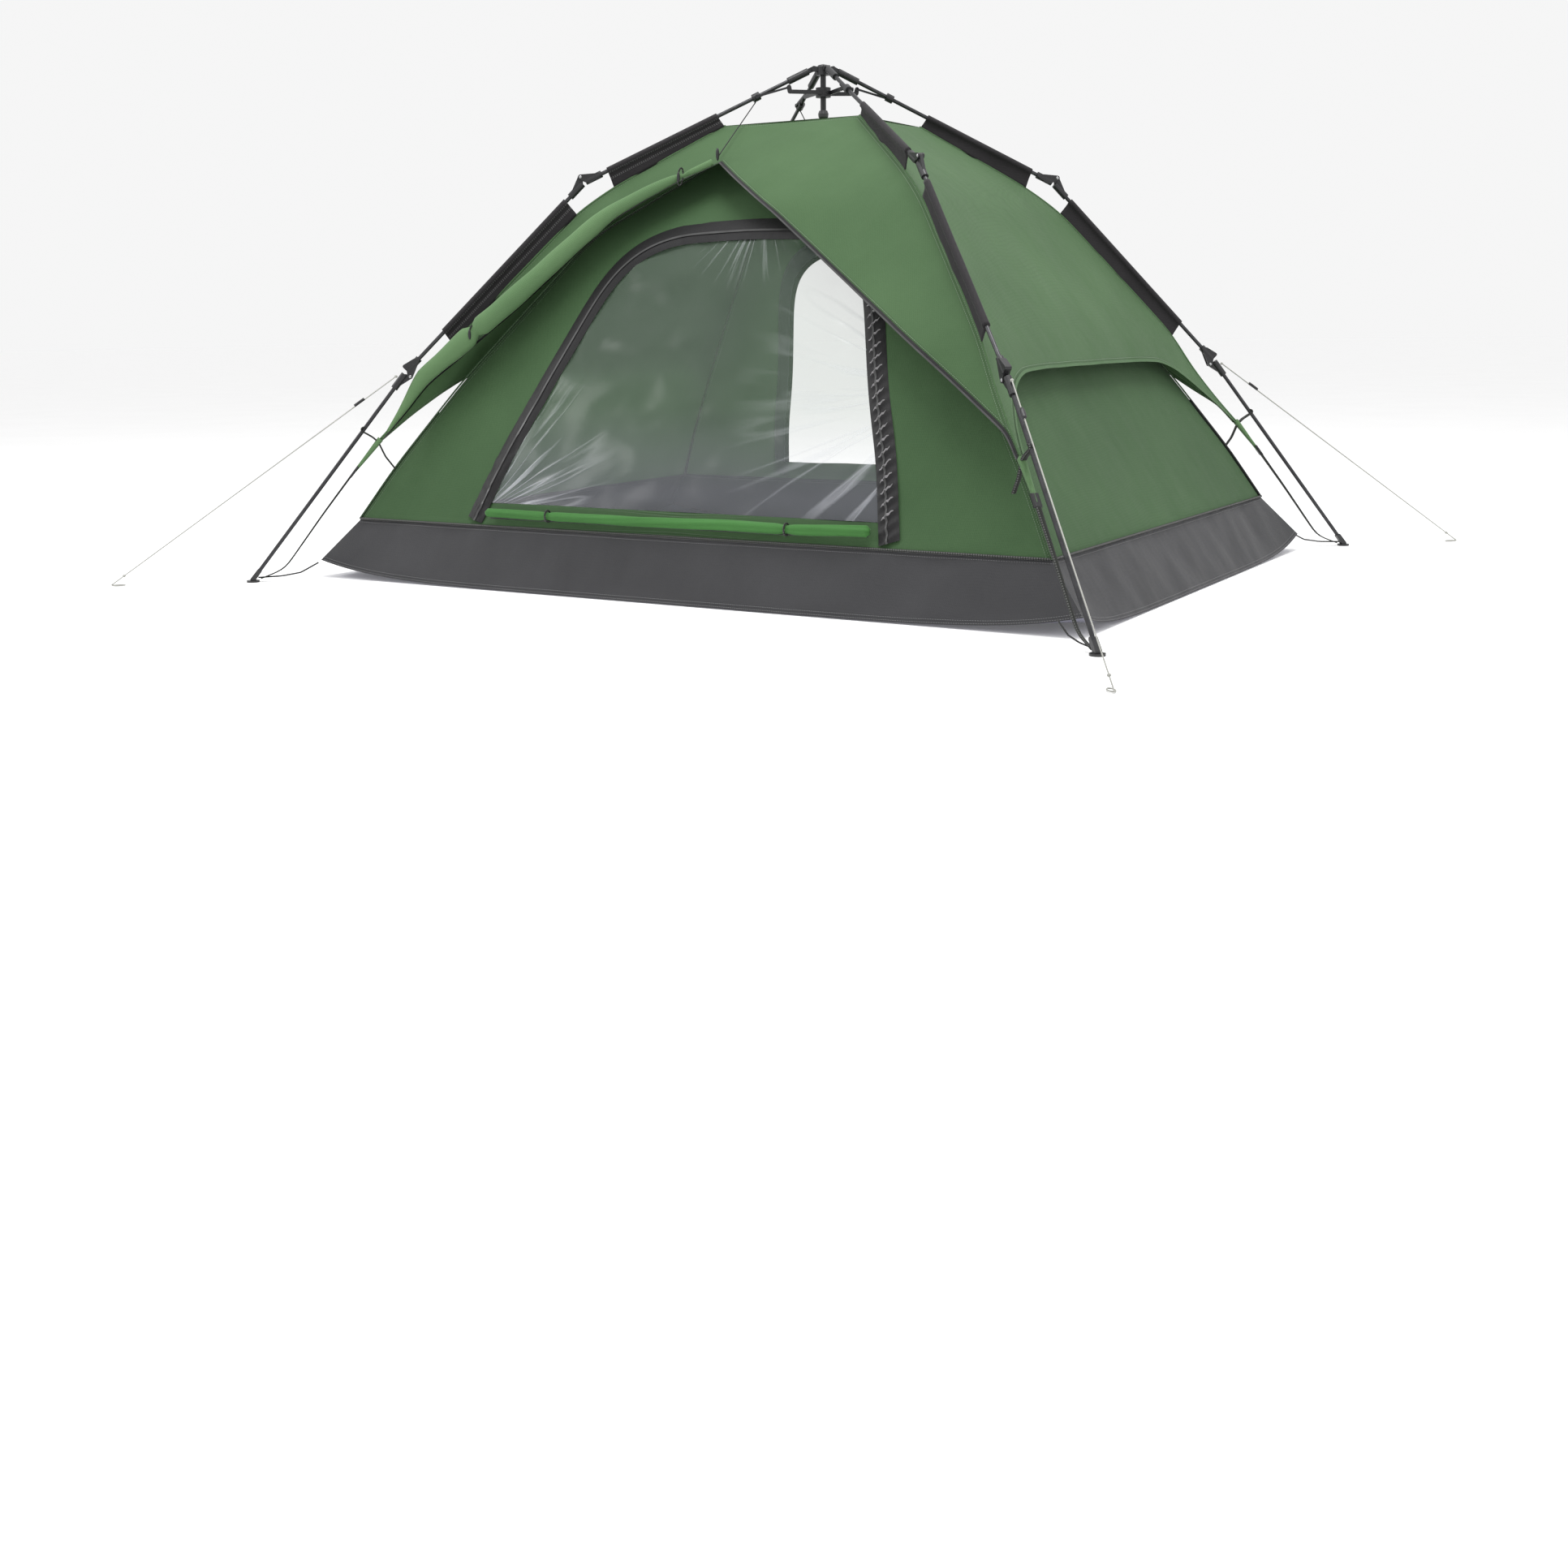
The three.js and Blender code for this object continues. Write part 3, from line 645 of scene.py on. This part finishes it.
def tube_along(points, radius, sides=8, flat=1.0):
    """Rows of a tube that follows points, with its cross-section stretched upright by flat."""
    points = np.asarray(points, float)
    radii = np.zeros(len(points)) + radius
    rows = []
    for i, p in enumerate(points):
        way = heading(points, i)
        side = unit(np.cross(way, (0.02, 0.03, 1))) * radii[i]
        up = np.cross(side, way) * flat
        rows.append([p + side * math.cos(a) + up * math.sin(a) for a in circle(sides)])
    return np.array(rows)


def rolled_flap(edge):
    """The left flap of the vee, rolled back on itself outside the fly's edge; thickest below the middle."""
    points, radii = [], []
    for i, p in enumerate(edge[2:-1]):
        t = i / (len(edge) - 4)
        way = unit(edge[i + 3] - edge[i + 1])
        up = unit(np.cross(way, (0, -1, 0)) * (1, 0.2, 1))
        up = up if up[2] > 0 else -up
        swell = math.sin(math.pi * min(1.0, 0.12 + 0.95 * t)) ** 0.7
        size = (0.008 + 0.017 * swell) * min(1.0, 0.22 + t / 0.2)
        pinch = max(math.exp(-(((t - tie) / 0.012) ** 2)) for tie in FLAP_TIES)
        points.append(p + up * size * 0.9 + (0, -0.006 - 0.5 * size, 0))
        radii.append(size * (1 + 0.14 * soft_noise(p, 11, 4)) * (1 - 0.45 * pinch))
    return tube_along(points, np.array(radii) * 0.62, 14, flat=1.65), points


def lump(at, size, material, cloth):
    """A small rounded piece, such as a toggle or a knot, at a point; size is its half extents."""
    rows = []
    for u in np.linspace(0.02, math.pi - 0.02, 9):
        ring = [(math.sin(u) * math.cos(a), math.sin(u) * math.sin(a), math.cos(u))
                for a in circle(10)]
        rows.append(np.array(at) + np.array(ring) * size)
    cloth.form(rows, material)


flap_rows, flap_line = rolled_flap(front_rows[:PEAK, 0])
fly.form(flap_rows, LIT_FLY_CLOTH)
fly.add(edge_strip(front_rows[:PEAK], 0.006, 0.002, (0, -1, 0.3)), ZIP)
fly.add(edge_strip(front_rows[PEAK - 1 :], 0.008, 0.003, (0, -1, 0.3)), ZIP)
fly.add(edge_strip(front_rows[PEAK - 1 :], 0.0022, 0.0045, (0, -1, 0.3)), TEETH)
fly_side.add(side_rows, FLY)
fly_side.add(edge_strip(side_rows, 0.006, 0.002, (1, 0, 0.3)), HEM)
for tie in FLAP_TIES:
    at = np.array(flap_line[int(tie * (len(flap_line) - 1))])
    loop = [at + (0.3 * math.cos(a) * 0.012, -math.sin(a) * 0.012, math.cos(a) * 0.021)
            for a in np.linspace(0, 2 * math.pi, 21)]
    fly.add(tube_along(loop, 0.0022), WEBBING, closed=True)
    lump(at + (0.004, -0.015, -0.002), (0.004, 0.004, 0.013), NYLON, fly)

# The peak of the vee hangs from a thin cord that runs up to the frame
peak_point = front_rows[PEAK - 1, 0]
clamp = np.array(leg_point("front_left", *(np.array(HUB_PIVOT) + UPPER * 0.172)))
cord_line = np.linspace(peak_point + (0, -0.006, 0.016), clamp - (0, 0, 0.012), 20)
fly.form(tube_along(cord_line, 0.0014, 6), ELASTIC)
lump(peak_point + (0, -0.010, 0.020), (0.0045, 0.0045, 0.016), NYLON, fly)

# Piping over the seams along the ridges
for part in (side_rows[:RIDGE_STEPS, -1], side_rows[-RIDGE_STEPS:, -1]):
    fly_side.form(tube_along(resample(part, 60), 0.0028), HEM)


def flat_rows(count, height_at, half_x, half_y):
    """A rectangle of points; height_at takes a and b, which run from -1 to 1 across it and along it."""
    marks = np.linspace(-1, 1, count)
    return np.array([[(a * half_x, b * half_y, height_at(a, b)) for a in marks] for b in marks])


def roof_height(a, b):
    return ridge_line[-1, 1] - ROOF_SAG * (1 - a * a) * (1 - b * b)


roof = Cloth().add(flat_rows(24, roof_height, ridge_line[-1, 0] * COS, ridge_line[-1, 0] * SIN), FLY)

for name, cloth in (("fly_front", fly), ("fly_back", fly.mirrored()), ("fly_right", fly_side),
                    ("fly_left", fly_side.half_turn()), ("fly_roof", roof)):
    gather(cloth, f"{name}_cloth", "hub", [name], "stretched")


# ---- inner tent ----

levels = rounded(INNER_LEVELS, 60, 6)


def inner_x(z):
    return float(np.interp(z, levels[:, 2], levels[:, 0]))


def inner_y(z):
    return float(np.interp(z, levels[:, 2], levels[:, 1]))


def slack(z):
    """The walls are straight where they are sewn to the tub and bend in above it."""
    return min(1.0, max(0.0, (z - TUB_TOP[2]) / 0.12))


def on_inner_front(x, z):
    return (x, -inner_y(z) + slack(z) * bow(x, inner_x(z), 0.008), z)


def on_inner_right(y, z):
    return (inner_x(z) - slack(z) * bow(y, inner_y(z), 0.014), y, z)


side_profile = np.stack([levels[:, 0], levels[:, 2]], axis=1)
SECTION = 36


def four_sections(*lines):
    return np.concatenate([resample(line, SECTION + 1)[:-1] for line in lines])


def wall_outline():
    rise = side_profile * (-1, 1)
    fall = side_profile[::-1]
    return four_sections(rise, [rise[-1], fall[0]], fall, [fall[-1], rise[0]])


def door_outline(grow=0.0):
    """The doorway, from the left end of the sill round the arch and back along the sill."""
    side = np.array(DOOR_SIDE) + (grow, 0)
    crown = np.array(DOOR_CROWN) + (grow * 0.7, grow)
    right = np.concatenate([side, crown])
    around = np.concatenate([right * (-1, 1), right[::-1][1:]])
    smooth = rounded(around, 3 * SECTION + 1, 8)
    sill = np.linspace(smooth[-1], smooth[0], SECTION + 1)[:-1]
    return np.concatenate([smooth[:-1], sill])


def wall_with_door():
    """One end wall: a ring of cloth between the doorway and the wall's outline."""
    inner, outer = door_outline(), wall_outline()
    rows = between(inner, outer, 22, on_inner_front)
    rows = np.concatenate([rows, rows[:1]])
    return wrinkled(rows, 0.004, 4.4, 5.2, (1, 1, 0.6), seam_fade(rows))


def side_wall():
    heights = np.linspace(TUB_TOP[2], INNER_LEVELS[-1][2], 60)
    rows = [[on_inner_right(t * inner_y(z), z) for t in np.linspace(-1, 1, 50)] for z in heights]
    return wrinkled(rows, 0.004, 3.7, 8.8, (1, 0.8, 0.6), held_edges(rows, [0]))


def tub_wall(front):
    """The waterproof wall round the floor on one side, from the floor's edge to the green cloth."""
    rows = []
    for t in np.linspace(-1, 1, 70):
        share_x, share_y = (t, -1) if front else (1, t)
        low = np.array([share_x * FLOOR[0], share_y * FLOOR[1], 0.0025 + CORNER_LIFT * abs(t) ** 6])
        high = np.array([share_x * TUB_TOP[0], share_y * TUB_TOP[1], TUB_TOP[2]])
        rows.append([low + (high - low) * k for k in np.linspace(0, 1, 10)])
    return wrinkled(rows, 0.007, 6.0, 12.4, (1, 1, 0.4), held_edges(rows, [0, -1]))


def floor_height(a, b):
    return 0.003 + CORNER_LIFT * abs(a) ** 6 * abs(b) ** 6


def arch_line(grow=0.0):
    """The doorway without its sill."""
    return door_outline(grow)[: 3 * SECTION + 1]


def band_line():
    """The arch of the doorway, carried down at both ends to the floor's dark wall."""
    (x, z), (x_above, z_above) = DOOR_SIDE[:2]
    low = TUB_TOP[2] + 0.010
    end = x + (z - low) * (x - x_above) / (z_above - z)
    return np.concatenate([[(-end, low)], arch_line(), [(end, low)]])


def line_length(line):
    return float(np.linalg.norm(np.diff(line, axis=0), axis=1).sum())


def outer_normal(line, i):
    way = line[min(i + 3, len(line) - 1)] - line[max(i - 3, 0)]
    return unit((-way[1], way[0]))


def zip_band():
    """The dark zip tape round the arch, a little proud of the wall and gathered down both sides."""
    line = resample(band_line(), 420)
    length = line_length(line)
    rows = []
    for i, p in enumerate(line):
        s = length * i / (len(line) - 1)
        out = outer_normal(line, i)
        left = max(0.0, 1 - s / 0.42)
        right = max(0.0, 1 - (length - s) / 0.66)
        row = []
        for t in np.linspace(-0.3, 1, 11):
            x, y, z = on_inner_front(*(p + out * BAND_WIDTH * t))
            twist = math.sin(2 * math.pi * (s / GATHER_PITCH + 0.7 * t))
            crumple = soft_noise((s * 30, t * 2, 0.5), 1, 2) + 0.6 * soft_noise((s * 75, t * 4, 0.5), 1, 5)
            crown = math.sin(math.pi * (t + 0.3) / 1.3)
            ripple = 0.0035 * right ** 0.4 * twist * crown + 0.004 * left * crumple
            row.append((x, y - 0.003 - 0.005 * crown - ripple, z))
        rows.append(row)
    return np.array(rows)


def zip_teeth():
    band = zip_band()
    return np.stack([band[:, 4] - (0, 0.0022, 0), band[:, 5] - (0, 0.0022, 0)], axis=1)


def gather_highlight_marks(cloth):
    """Painted highlights: pale marks on the gathers of the zip band down the right-hand side, where they
    catch the light.
    """
    band = zip_band()
    length = line_length(band_line())
    for number in range(int((length - 0.60) / GATHER_PITCH), int((length - 0.02) / GATHER_PITCH)):
        mark = []
        for column in range(2, 9):
            s = GATHER_PITCH * (number + 0.25 - 0.7 * (0.13 * column - 0.3))
            p = band[int(round(s / length * (len(band) - 1))), column] - (0, 0.0008, 0)
            half = 0.0032 * math.sin(math.pi * (column - 1.4) / 7.2)
            mark.append([p - (0, 0, half), p + (0, 0, half)])
        cloth.add(mark, GATHER_HIGHLIGHT)


def doorway_binding():
    """The tape that binds the doorway on the inside of the wall."""
    line = resample(arch_line(), 300)
    rows = []
    for i, p in enumerate(line):
        out = outer_normal(line, i)
        row = []
        for t in np.linspace(-0.08, 1, 7):
            x, y, z = on_inner_front(*(p + out * 0.036 * t))
            row.append((x, y + 0.005 + 0.0012 * soft_noise((i * 0.21, t * 2, 0.5), 1, 7), z))
        rows.append(row)
    return np.array(rows)


def corner_piping(cloth):
    """Dark tape in the corners at both ends of a side wall, green piping outside, and low down a dark tube
    that stands for the painted shadow in the gap at the corner.
    """
    low = levels[levels[:, 2] < 0.44]
    tapes = (
        (levels, -0.004, -0.004, 0.0035, SLEEVE),
        (levels, 0.003, 0.003, 0.0022, INNER),
        # Painted shadow: a dark tube low down outside the corner, where the panels leave a shaded gap.
        (low, 0.004, -0.005, 0.0034, ZIP),
    )
    for end in (-1, 1):
        for line, x_step, y_step, radius, material in tapes:
            points = [(x + x_step, end * (y + y_step), z) for x, y, z in line]
            cloth.form(tube_along(points, radius), material)


def tub_seam(cloth):
    """Piping where the floor's wall meets the green cloth."""
    x, y, z = TUB_TOP
    for points in ([(t * x, -y - 0.003, z) for t in np.linspace(-1, 1, 40)],
                   [(x + 0.004, t * y, z) for t in np.linspace(-1, 1, 40)]):
        cloth.form(tube_along(points, 0.0034), WEBBING)


inner = Cloth()
inner.add(wall_with_door(), INNER)
inner.add(side_wall(), INNER)
inner.add(zip_band(), ZIP)
inner.add(tub_wall(True), TUB)
inner.add(tub_wall(False), TUB)
inner.add(zip_teeth(), TEETH)
gather_highlight_marks(inner)
inner.add(doorway_binding(), BINDING)
corner_piping(inner)
tub_seam(inner)
top_x, top_y, top_z = INNER_LEVELS[-1]
inner_top = Cloth().add(flat_rows(20, lambda a, b: top_z, top_x, top_y), INNER)
ground_sheet = Cloth().add(flat_rows(45, floor_height, *FLOOR), GROUND_SHEET)

gather(inner, "inner_front_right", "hub", ["inner_front_wall", "tub_floor"], "stretched")
gather(inner.half_turn(), "inner_back_left", "hub", ["inner_back_wall", "inner_side_and_roof"], "stretched")
gather(inner_top, "inner_top", "hub", [], "stretched")
gather(ground_sheet, "ground_sheet", "hub", [], "laid")


def film_rows():
    arch = arch_line(-0.004)
    half = arch[: len(arch) // 2 + 1]
    rows = [[on_inner_front(t * x, z) for t in np.linspace(-1, 1, 70)] for x, z in resample(half, 60)]
    return wrinkled(rows, 0.007, 5.5, 2.3, (1, 1, 1.8), held_edges(rows, [0]))


gather(Cloth().add(film_rows(), FILM), "front_door_film", "front_door", ["front_door"], "stretched")


def roll_height(x):
    """The roll lies along the sill and rises towards its right-hand end."""
    rise = min(1.0, max(0.0, (x - 0.34) / 0.22))
    return 0.191 + 0.006 * rise * rise * (3 - 2 * rise)


def door_roll():
    """The cloth door, rolled and tied at the sill: a flattened, creased roll, fuller towards the right."""
    y = -inner_y(ROLL_Z) - 0.019
    rows = []
    for x in np.linspace(-ROLL_HALF, ROLL_HALF, 160):
        pinch = sum(math.exp(-(((x - tie) / 0.016) ** 2)) for tie in ROLL_TIES)
        full = 0.80 + 0.20 * (x + ROLL_HALF) / (2 * ROLL_HALF)
        end = min(1.0, (ROLL_HALF - abs(x)) / 0.012 + 0.55)
        sway = 0.0025 * soft_noise((x * 3, 1, 1), 1, 2)
        ring = []
        for k in range(32):
            a = 2 * math.pi * k / 32
            lengthwise = abs(math.sin(2.5 * a + 5 * soft_noise((x * 1.6, 0.2, 0.4), 1, 3)))
            crumple = soft_noise((x * 7, 1.5 * math.cos(a), 1.5 * math.sin(a)), 1, 6)
            size = full * end * (0.86 + 0.16 * lengthwise + 0.14 * crumple - 0.25 * pinch)
            z = roll_height(x) + sway + math.sin(a) * 0.0140 * size
            ring.append((x, y + math.cos(a) * 0.012 * size, z))
        rows.append(ring)
    return np.array(rows)


def tie_rows(x):
    y = -inner_y(ROLL_Z) - 0.019
    z = roll_height(x)
    ring = [(x, y + math.cos(a) * 0.0125, z + math.sin(a) * 0.0140) for a in np.linspace(0, 2 * math.pi, 25)]
    return tube_along(ring, 0.0025, 6)


for name, turned, node in (("front_roll", False, "front_door_roll"), ("back_roll", True, "back_door_roll")):
    roll = Cloth().form(door_roll(), ROLL)
    for x in ROLL_TIES:
        roll.add(tie_rows(x), WEBBING, closed=True)
    y = -inner_y(ROLL_Z) - 0.012
    # A thin dark tube along the wall just under the roll.
    dark_line_under_roll = [(x, y, roll_height(x) - 0.0125) for x in np.linspace(-0.552, 0.552, 60)]
    roll.form(tube_along(dark_line_under_roll, 0.0022), WEBBING)
    for piece in gather(roll.half_turn() if turned else roll, name, "hub", [node]):
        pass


# ---- sleeves, straps and cords on the legs ----


def closed_piece(name, rows, material, body):
    """A closed form of one material that rides a body."""
    cloth = Cloth().form(rows, material)
    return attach(new_object(name, cloth.mesh(name)), body)


def sleeve(corner, name, body, start, way, reach, ridge_from, ridge_to):
    """A dark sleeve round a pole with a fin down to the fly's ridge."""
    normal = outward(way)
    angles = np.linspace(-0.35 * math.pi, 1.35 * math.pi, 17)
    round_pole = [(math.cos(a) * 0.0085, math.sin(a) * 0.0085) for a in angles]
    rows = []
    for t in np.linspace(0, 1, 60):
        s = reach[0] + (reach[1] - reach[0]) * t
        centre = np.array(start) + way * s
        low = np.array(ridge_from) + (np.array(ridge_to) - ridge_from) * t
        hang = float((centre - low) @ normal)
        shift = float((low - (centre - normal * hang)) @ way)
        wave = 0.0012 * math.sin(9 * t + 1.3) + 0.0015 * soft_noise((t * 6, 0.3, 0.1), 1, 3 + s)
        fin = [-0.006 - (hang - 0.006) * share for share in (0.3, 0.55, 0.8, 1.0)]
        ring = []
        for across, up in round_pole + [(-0.0014, up) for up in fin] + [(0.0014, up) for up in reversed(fin)]:
            depth = max(0.0, -up / hang)
            point = centre + normal * up + way * shift * depth
            bulge = 1 + 0.14 * soft_noise((s * 12, across * 60, up * 30), 1, 5)
            ring.append(tuple(leg_point(corner, point[0], point[1], across * bulge + wave * depth)))
        rows.append(ring)
    obj = closed_piece(f"{name}_{corner}", rows, SLEEVE, body)
    draw_in(obj)
    declare_sheet(obj, layers=2)


def draw_in(obj):
    """Gives a sleeve or strap a mesh of its own."""
    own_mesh(obj)


def strap(name, corner, path, width, material, thickness, sheet=True, taper=1.0):
    """A flat band in a leg's plane that follows (r, z) points, its width across the plane."""
    a = LEGS[corner]
    across = np.array([-math.sin(a), math.cos(a), 0])
    points = [np.array(leg_point(corner, *p)) for p in rounded(path, 28, 3)]
    rows = []
    for i, p in enumerate(points):
        size = 1 + (taper - 1) * i / (len(points) - 1)
        up = unit(np.cross(heading(points, i), across)) * thickness / 2 * size
        side = across * width / 2 * size * (1 + 0.06 * soft_noise(p, 14, 8))
        rows.append([p - side - up, p - up * 1.3, p + side - up, p + side + up, p + up * 1.3, p - side + up])
    obj = closed_piece(f"{name}_{corner}", rows, material, f"lower_{corner}")
    draw_in(obj)
    if sheet:
        declare_sheet(obj, layers=2)


RIVET_R = 0.0042
RIVET_HALF = 0.008
SLIDER_HALF = 0.016


def rivet(name, body, corner, at):
    """The steel rivet through a knuckle's pivot, with a domed head on each side."""
    head = [(0.0004, RIVET_HALF + 0.0018), (0.6, RIVET_HALF + 0.0016), (1, RIVET_HALF + 0.0004)]
    rows = []
    for share, across in [(share, -across) for share, across in head] + head[::-1]:
        r = RIVET_R * share
        rows.append([tuple(leg_point(corner, at[0] + math.cos(a) * r, at[1] + math.sin(a) * r, across))
                     for a in circle(16)])
    closed_piece(f"{name}_{corner}", rows, RIVET, body)


def ridge_at(r):
    return (r, float(np.interp(r, ridge_line[::-1, 0], ridge_line[::-1, 1])))


def pivot(point, before, after, offset):
    normal = unit((-(before[1] + after[1]), before[0] + after[0]))
    return np.array(point) + normal * offset


KNEE_PIN = pivot(KNEE, UPPER, MIDDLE, 0.016)
ANKLE_PIN = pivot(ANKLE, MIDDLE, LOWER, -0.015)


def leg_details(corner):
    upper, middle, lower = (f"{part}_{corner}" for part in ("upper", "middle", "lower"))
    sleeve(corner, "upper_sleeve", upper, HUB_PIVOT, UPPER, (0.285, 0.608), ridge_at(0.266), ridge_at(0.562))
    sleeve(corner, "middle_sleeve", middle, KNEE, MIDDLE, (0.068, 0.536), ridge_at(0.662), ridge_at(1.002))
    rivet("knee_rivet", upper, corner, KNEE_PIN)
    rivet("ankle_rivet", middle, corner, ANKLE_PIN)
    on_pole = np.array(ANKLE) + LOWER * 0.188
    around = [on_pole + np.array([math.cos(a), math.sin(a)]) * 0.0066 for a in np.linspace(2.2, -1.6, 12)]
    fly_corner = [*around, on_pole - (0.022, 0.020), (1.214, 0.363)]
    strap("fly_strap", corner, fly_corner, 0.014, WEBBING, 0.0036)
    inner_corner = [(1.213, 0.362), (1.197, 0.324), (1.174, 0.292)]
    strap("inner_strap", corner, inner_corner, 0.010, WEBBING, 0.0036)
    strip = [(1.207, 0.370), (1.246, 0.325), (1.285, 0.281)]
    strap("corner_strip", corner, strip, 0.016, LIT_FLY_CLOTH, 0.012, taper=0.4)
    strap("corner_webbing", corner, [(1.278, 0.290), (1.368, 0.179), (1.482, 0.032), (1.545, 0.009)],
          0.012, WEBBING, 0.0042, taper=0.6)
    strap("strap_buckle", corner, [(1.270, 0.299), (1.292, 0.272)], 0.019, NYLON, 0.005, sheet=False)
    elastic = [leg_point(corner, *p) for p in ((1.392, 0.047), (1.44, 0.022), (1.49, 0.014), (1.552, 0.012))]
    elastic = tube_along(resample(elastic, 16), 0.0020)
    draw_in(closed_piece(f"corner_elastic_{corner}", elastic, ELASTIC, lower))


def guy_point(corner, t):
    """A point on a guy line, from its knuckle at 0 to the ground at 1."""
    start, end = leg_point(corner, *GUY_TOP), leg_point(corner, *GUY_END)
    swing = Matrix.Rotation(GUY_TURN.get(corner, 0), 3, "Z")
    return start + (swing @ (end - start)) * t


def guy_line(corner):
    """A taut cord from the lower knuckle to its peg loop on the ground, with a line slider near the top."""
    body = f"lower_{corner}"
    start, end = guy_point(corner, 0), guy_point(corner, 1)
    path = [guy_point(corner, t) for t in np.linspace(0, 1, 24)]
    curve = bpy.data.curves.new(f"guy_cord_{corner}", "CURVE")
    curve.dimensions = "3D"
    curve.bevel_depth = GUY_DIAMETER / 2
    curve.bevel_resolution = 3
    curve.use_fill_caps = True
    spline = curve.splines.new("POLY")
    spline.points.add(len(path) - 1)
    for point, p in zip(spline.points, path):
        point.co = (*p, 1)
    curve.materials.append(CORD)
    obj = new_object(f"guy_cord_{corner}", curve)
    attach(obj, body)
    way = np.array((end - start).normalized())
    side = unit(np.cross(way, (0, 0, 1)))
    up = np.cross(side, way)
    at = np.array(guy_point(corner, 0.13))
    plate = []
    for share in np.linspace(-1, 1, 9):
        reach = 0.006 * (1 - 0.35 * abs(share) ** 3)
        centre = at + way * SLIDER_HALF * share + up * 0.002
        plate.append([centre + side * reach * math.cos(a) + up * 0.0038 * math.sin(a) for a in circle(14)])
    slider = closed_piece(f"guy_slider_{corner}", plate, NYLON, body)
    tail = np.array(end) - way * 0.004
    flat = unit((way[0], way[1], 0))
    loop = []
    for a in np.linspace(0, 2 * math.pi, 25):
        x, y, _ = tail - flat * 0.016 * (1 - math.cos(a)) + side * 0.007 * math.sin(a)
        loop.append((x, y, 0.0035))
    ring = closed_piece(f"guy_loop_{corner}", tube_along(loop, 0.0015), CORD, body)
    knots = Cloth()
    for t in (0.004, 0.955):
        lump(guy_point(corner, t), (0.0042, 0.0042, 0.0036), CORD, knots)
    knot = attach(new_object(f"guy_knots_{corner}", knots.mesh("knots")), body)
    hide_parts(f"guy_line_{corner}")
    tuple(path[0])


for corner in LEGS:
    leg_details(corner)
for corner in LEGS:
    guy_line(corner)


# ---- the CAD nodes that are shown ----

LOOKS = {
    "upper_pole": STEEL, "middle_pole": STEEL, "lower_pole": FOOT_STEEL, "strut_": DARK_STEEL,
    "hub_socket": NYLON, "strut_clamp": NYLON, "knee": NYLON, "ankle": NYLON, "top_hub": NYLON,
    "centre_post": NYLON, "runner": NYLON, "pull_grip": GRIP,
}
for name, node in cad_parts.items():
    for start in sorted(LOOKS, key=len, reverse=True):
        if name.startswith(start):
            node.data.materials.clear()
            node.data.materials.append(LOOKS[start])
            break


# ---- camera, light and floor ----


def place_camera():
    azimuth, elevation, roll = math.radians(30.72), math.radians(14.58), math.radians(-0.66)
    back = Vector((math.sin(azimuth) * math.cos(elevation), -math.cos(azimuth) * math.cos(elevation),
                   math.sin(elevation)))
    right = (-back).cross(Vector((0, 0, 1))).normalized()
    up = right.cross(-back)
    x = right * math.cos(roll) + up * math.sin(roll)
    y = up * math.cos(roll) - right * math.sin(roll)
    data = bpy.data.cameras.new("camera")
    data.lens = 40.5
    data.sensor_width = 36
    camera = bpy.data.objects.new("camera", data)
    turn = Matrix((x, y, back)).transposed().to_4x4()
    camera.matrix_world = Matrix.Translation((2.440, -4.351, 0.652)) @ turn
    bpy.context.scene.collection.objects.link(camera)
    bpy.context.scene.camera = camera


def area_light(name, place, aim, size, power):
    data = bpy.data.lights.new(name, "AREA")
    data.shape = "DISK"
    data.size = size
    data.energy = power
    light = bpy.data.objects.new(name, data)
    light.location = place
    light.rotation_euler = (Vector(aim) - Vector(place)).to_track_quat("-Z", "Y").to_euler()
    bpy.context.scene.collection.objects.link(light)


def studio():
    place_camera()
    area_light("key", (0.8, -0.6, 5.0), (0, 0, 0.4), 3.0, 180)
    area_light("side", (5.0, 0.8, 2.4), (0.5, 0, 0.5), 2.0, 14)
    area_light("left", (-4.5, -3.0, 3.5), (-0.5, 0, 0.5), 2.0, 70)
    world = bpy.data.worlds.new("studio")
    world.use_nodes = True
    world.node_tree.nodes["Background"].inputs[0].default_value = (1, 1, 1, 1)
    world.node_tree.nodes["Background"].inputs[1].default_value = 0.92
    bpy.context.scene.world = world
    look = Look("floor_paper")
    look.fill(look.shader, {
        "Base Color": look.mix(look.noise(2, 3), (0.86, 0.86, 0.86), (0.90, 0.90, 0.90)),
        "Roughness": 0.9,
        "Emission Color": (1, 1, 1, 1),
        "Emission Strength": 0.10,
    })
    corners = [(-60, -60, 0), (60, -60, 0), (60, 60, 0), (-60, 60, 0)]
    floor = new_object("studio_floor", new_mesh("studio_floor", corners, [(0, 1, 2, 3)], [look.material]))
    bpy.context.scene.view_settings.view_transform = "Standard"


studio()
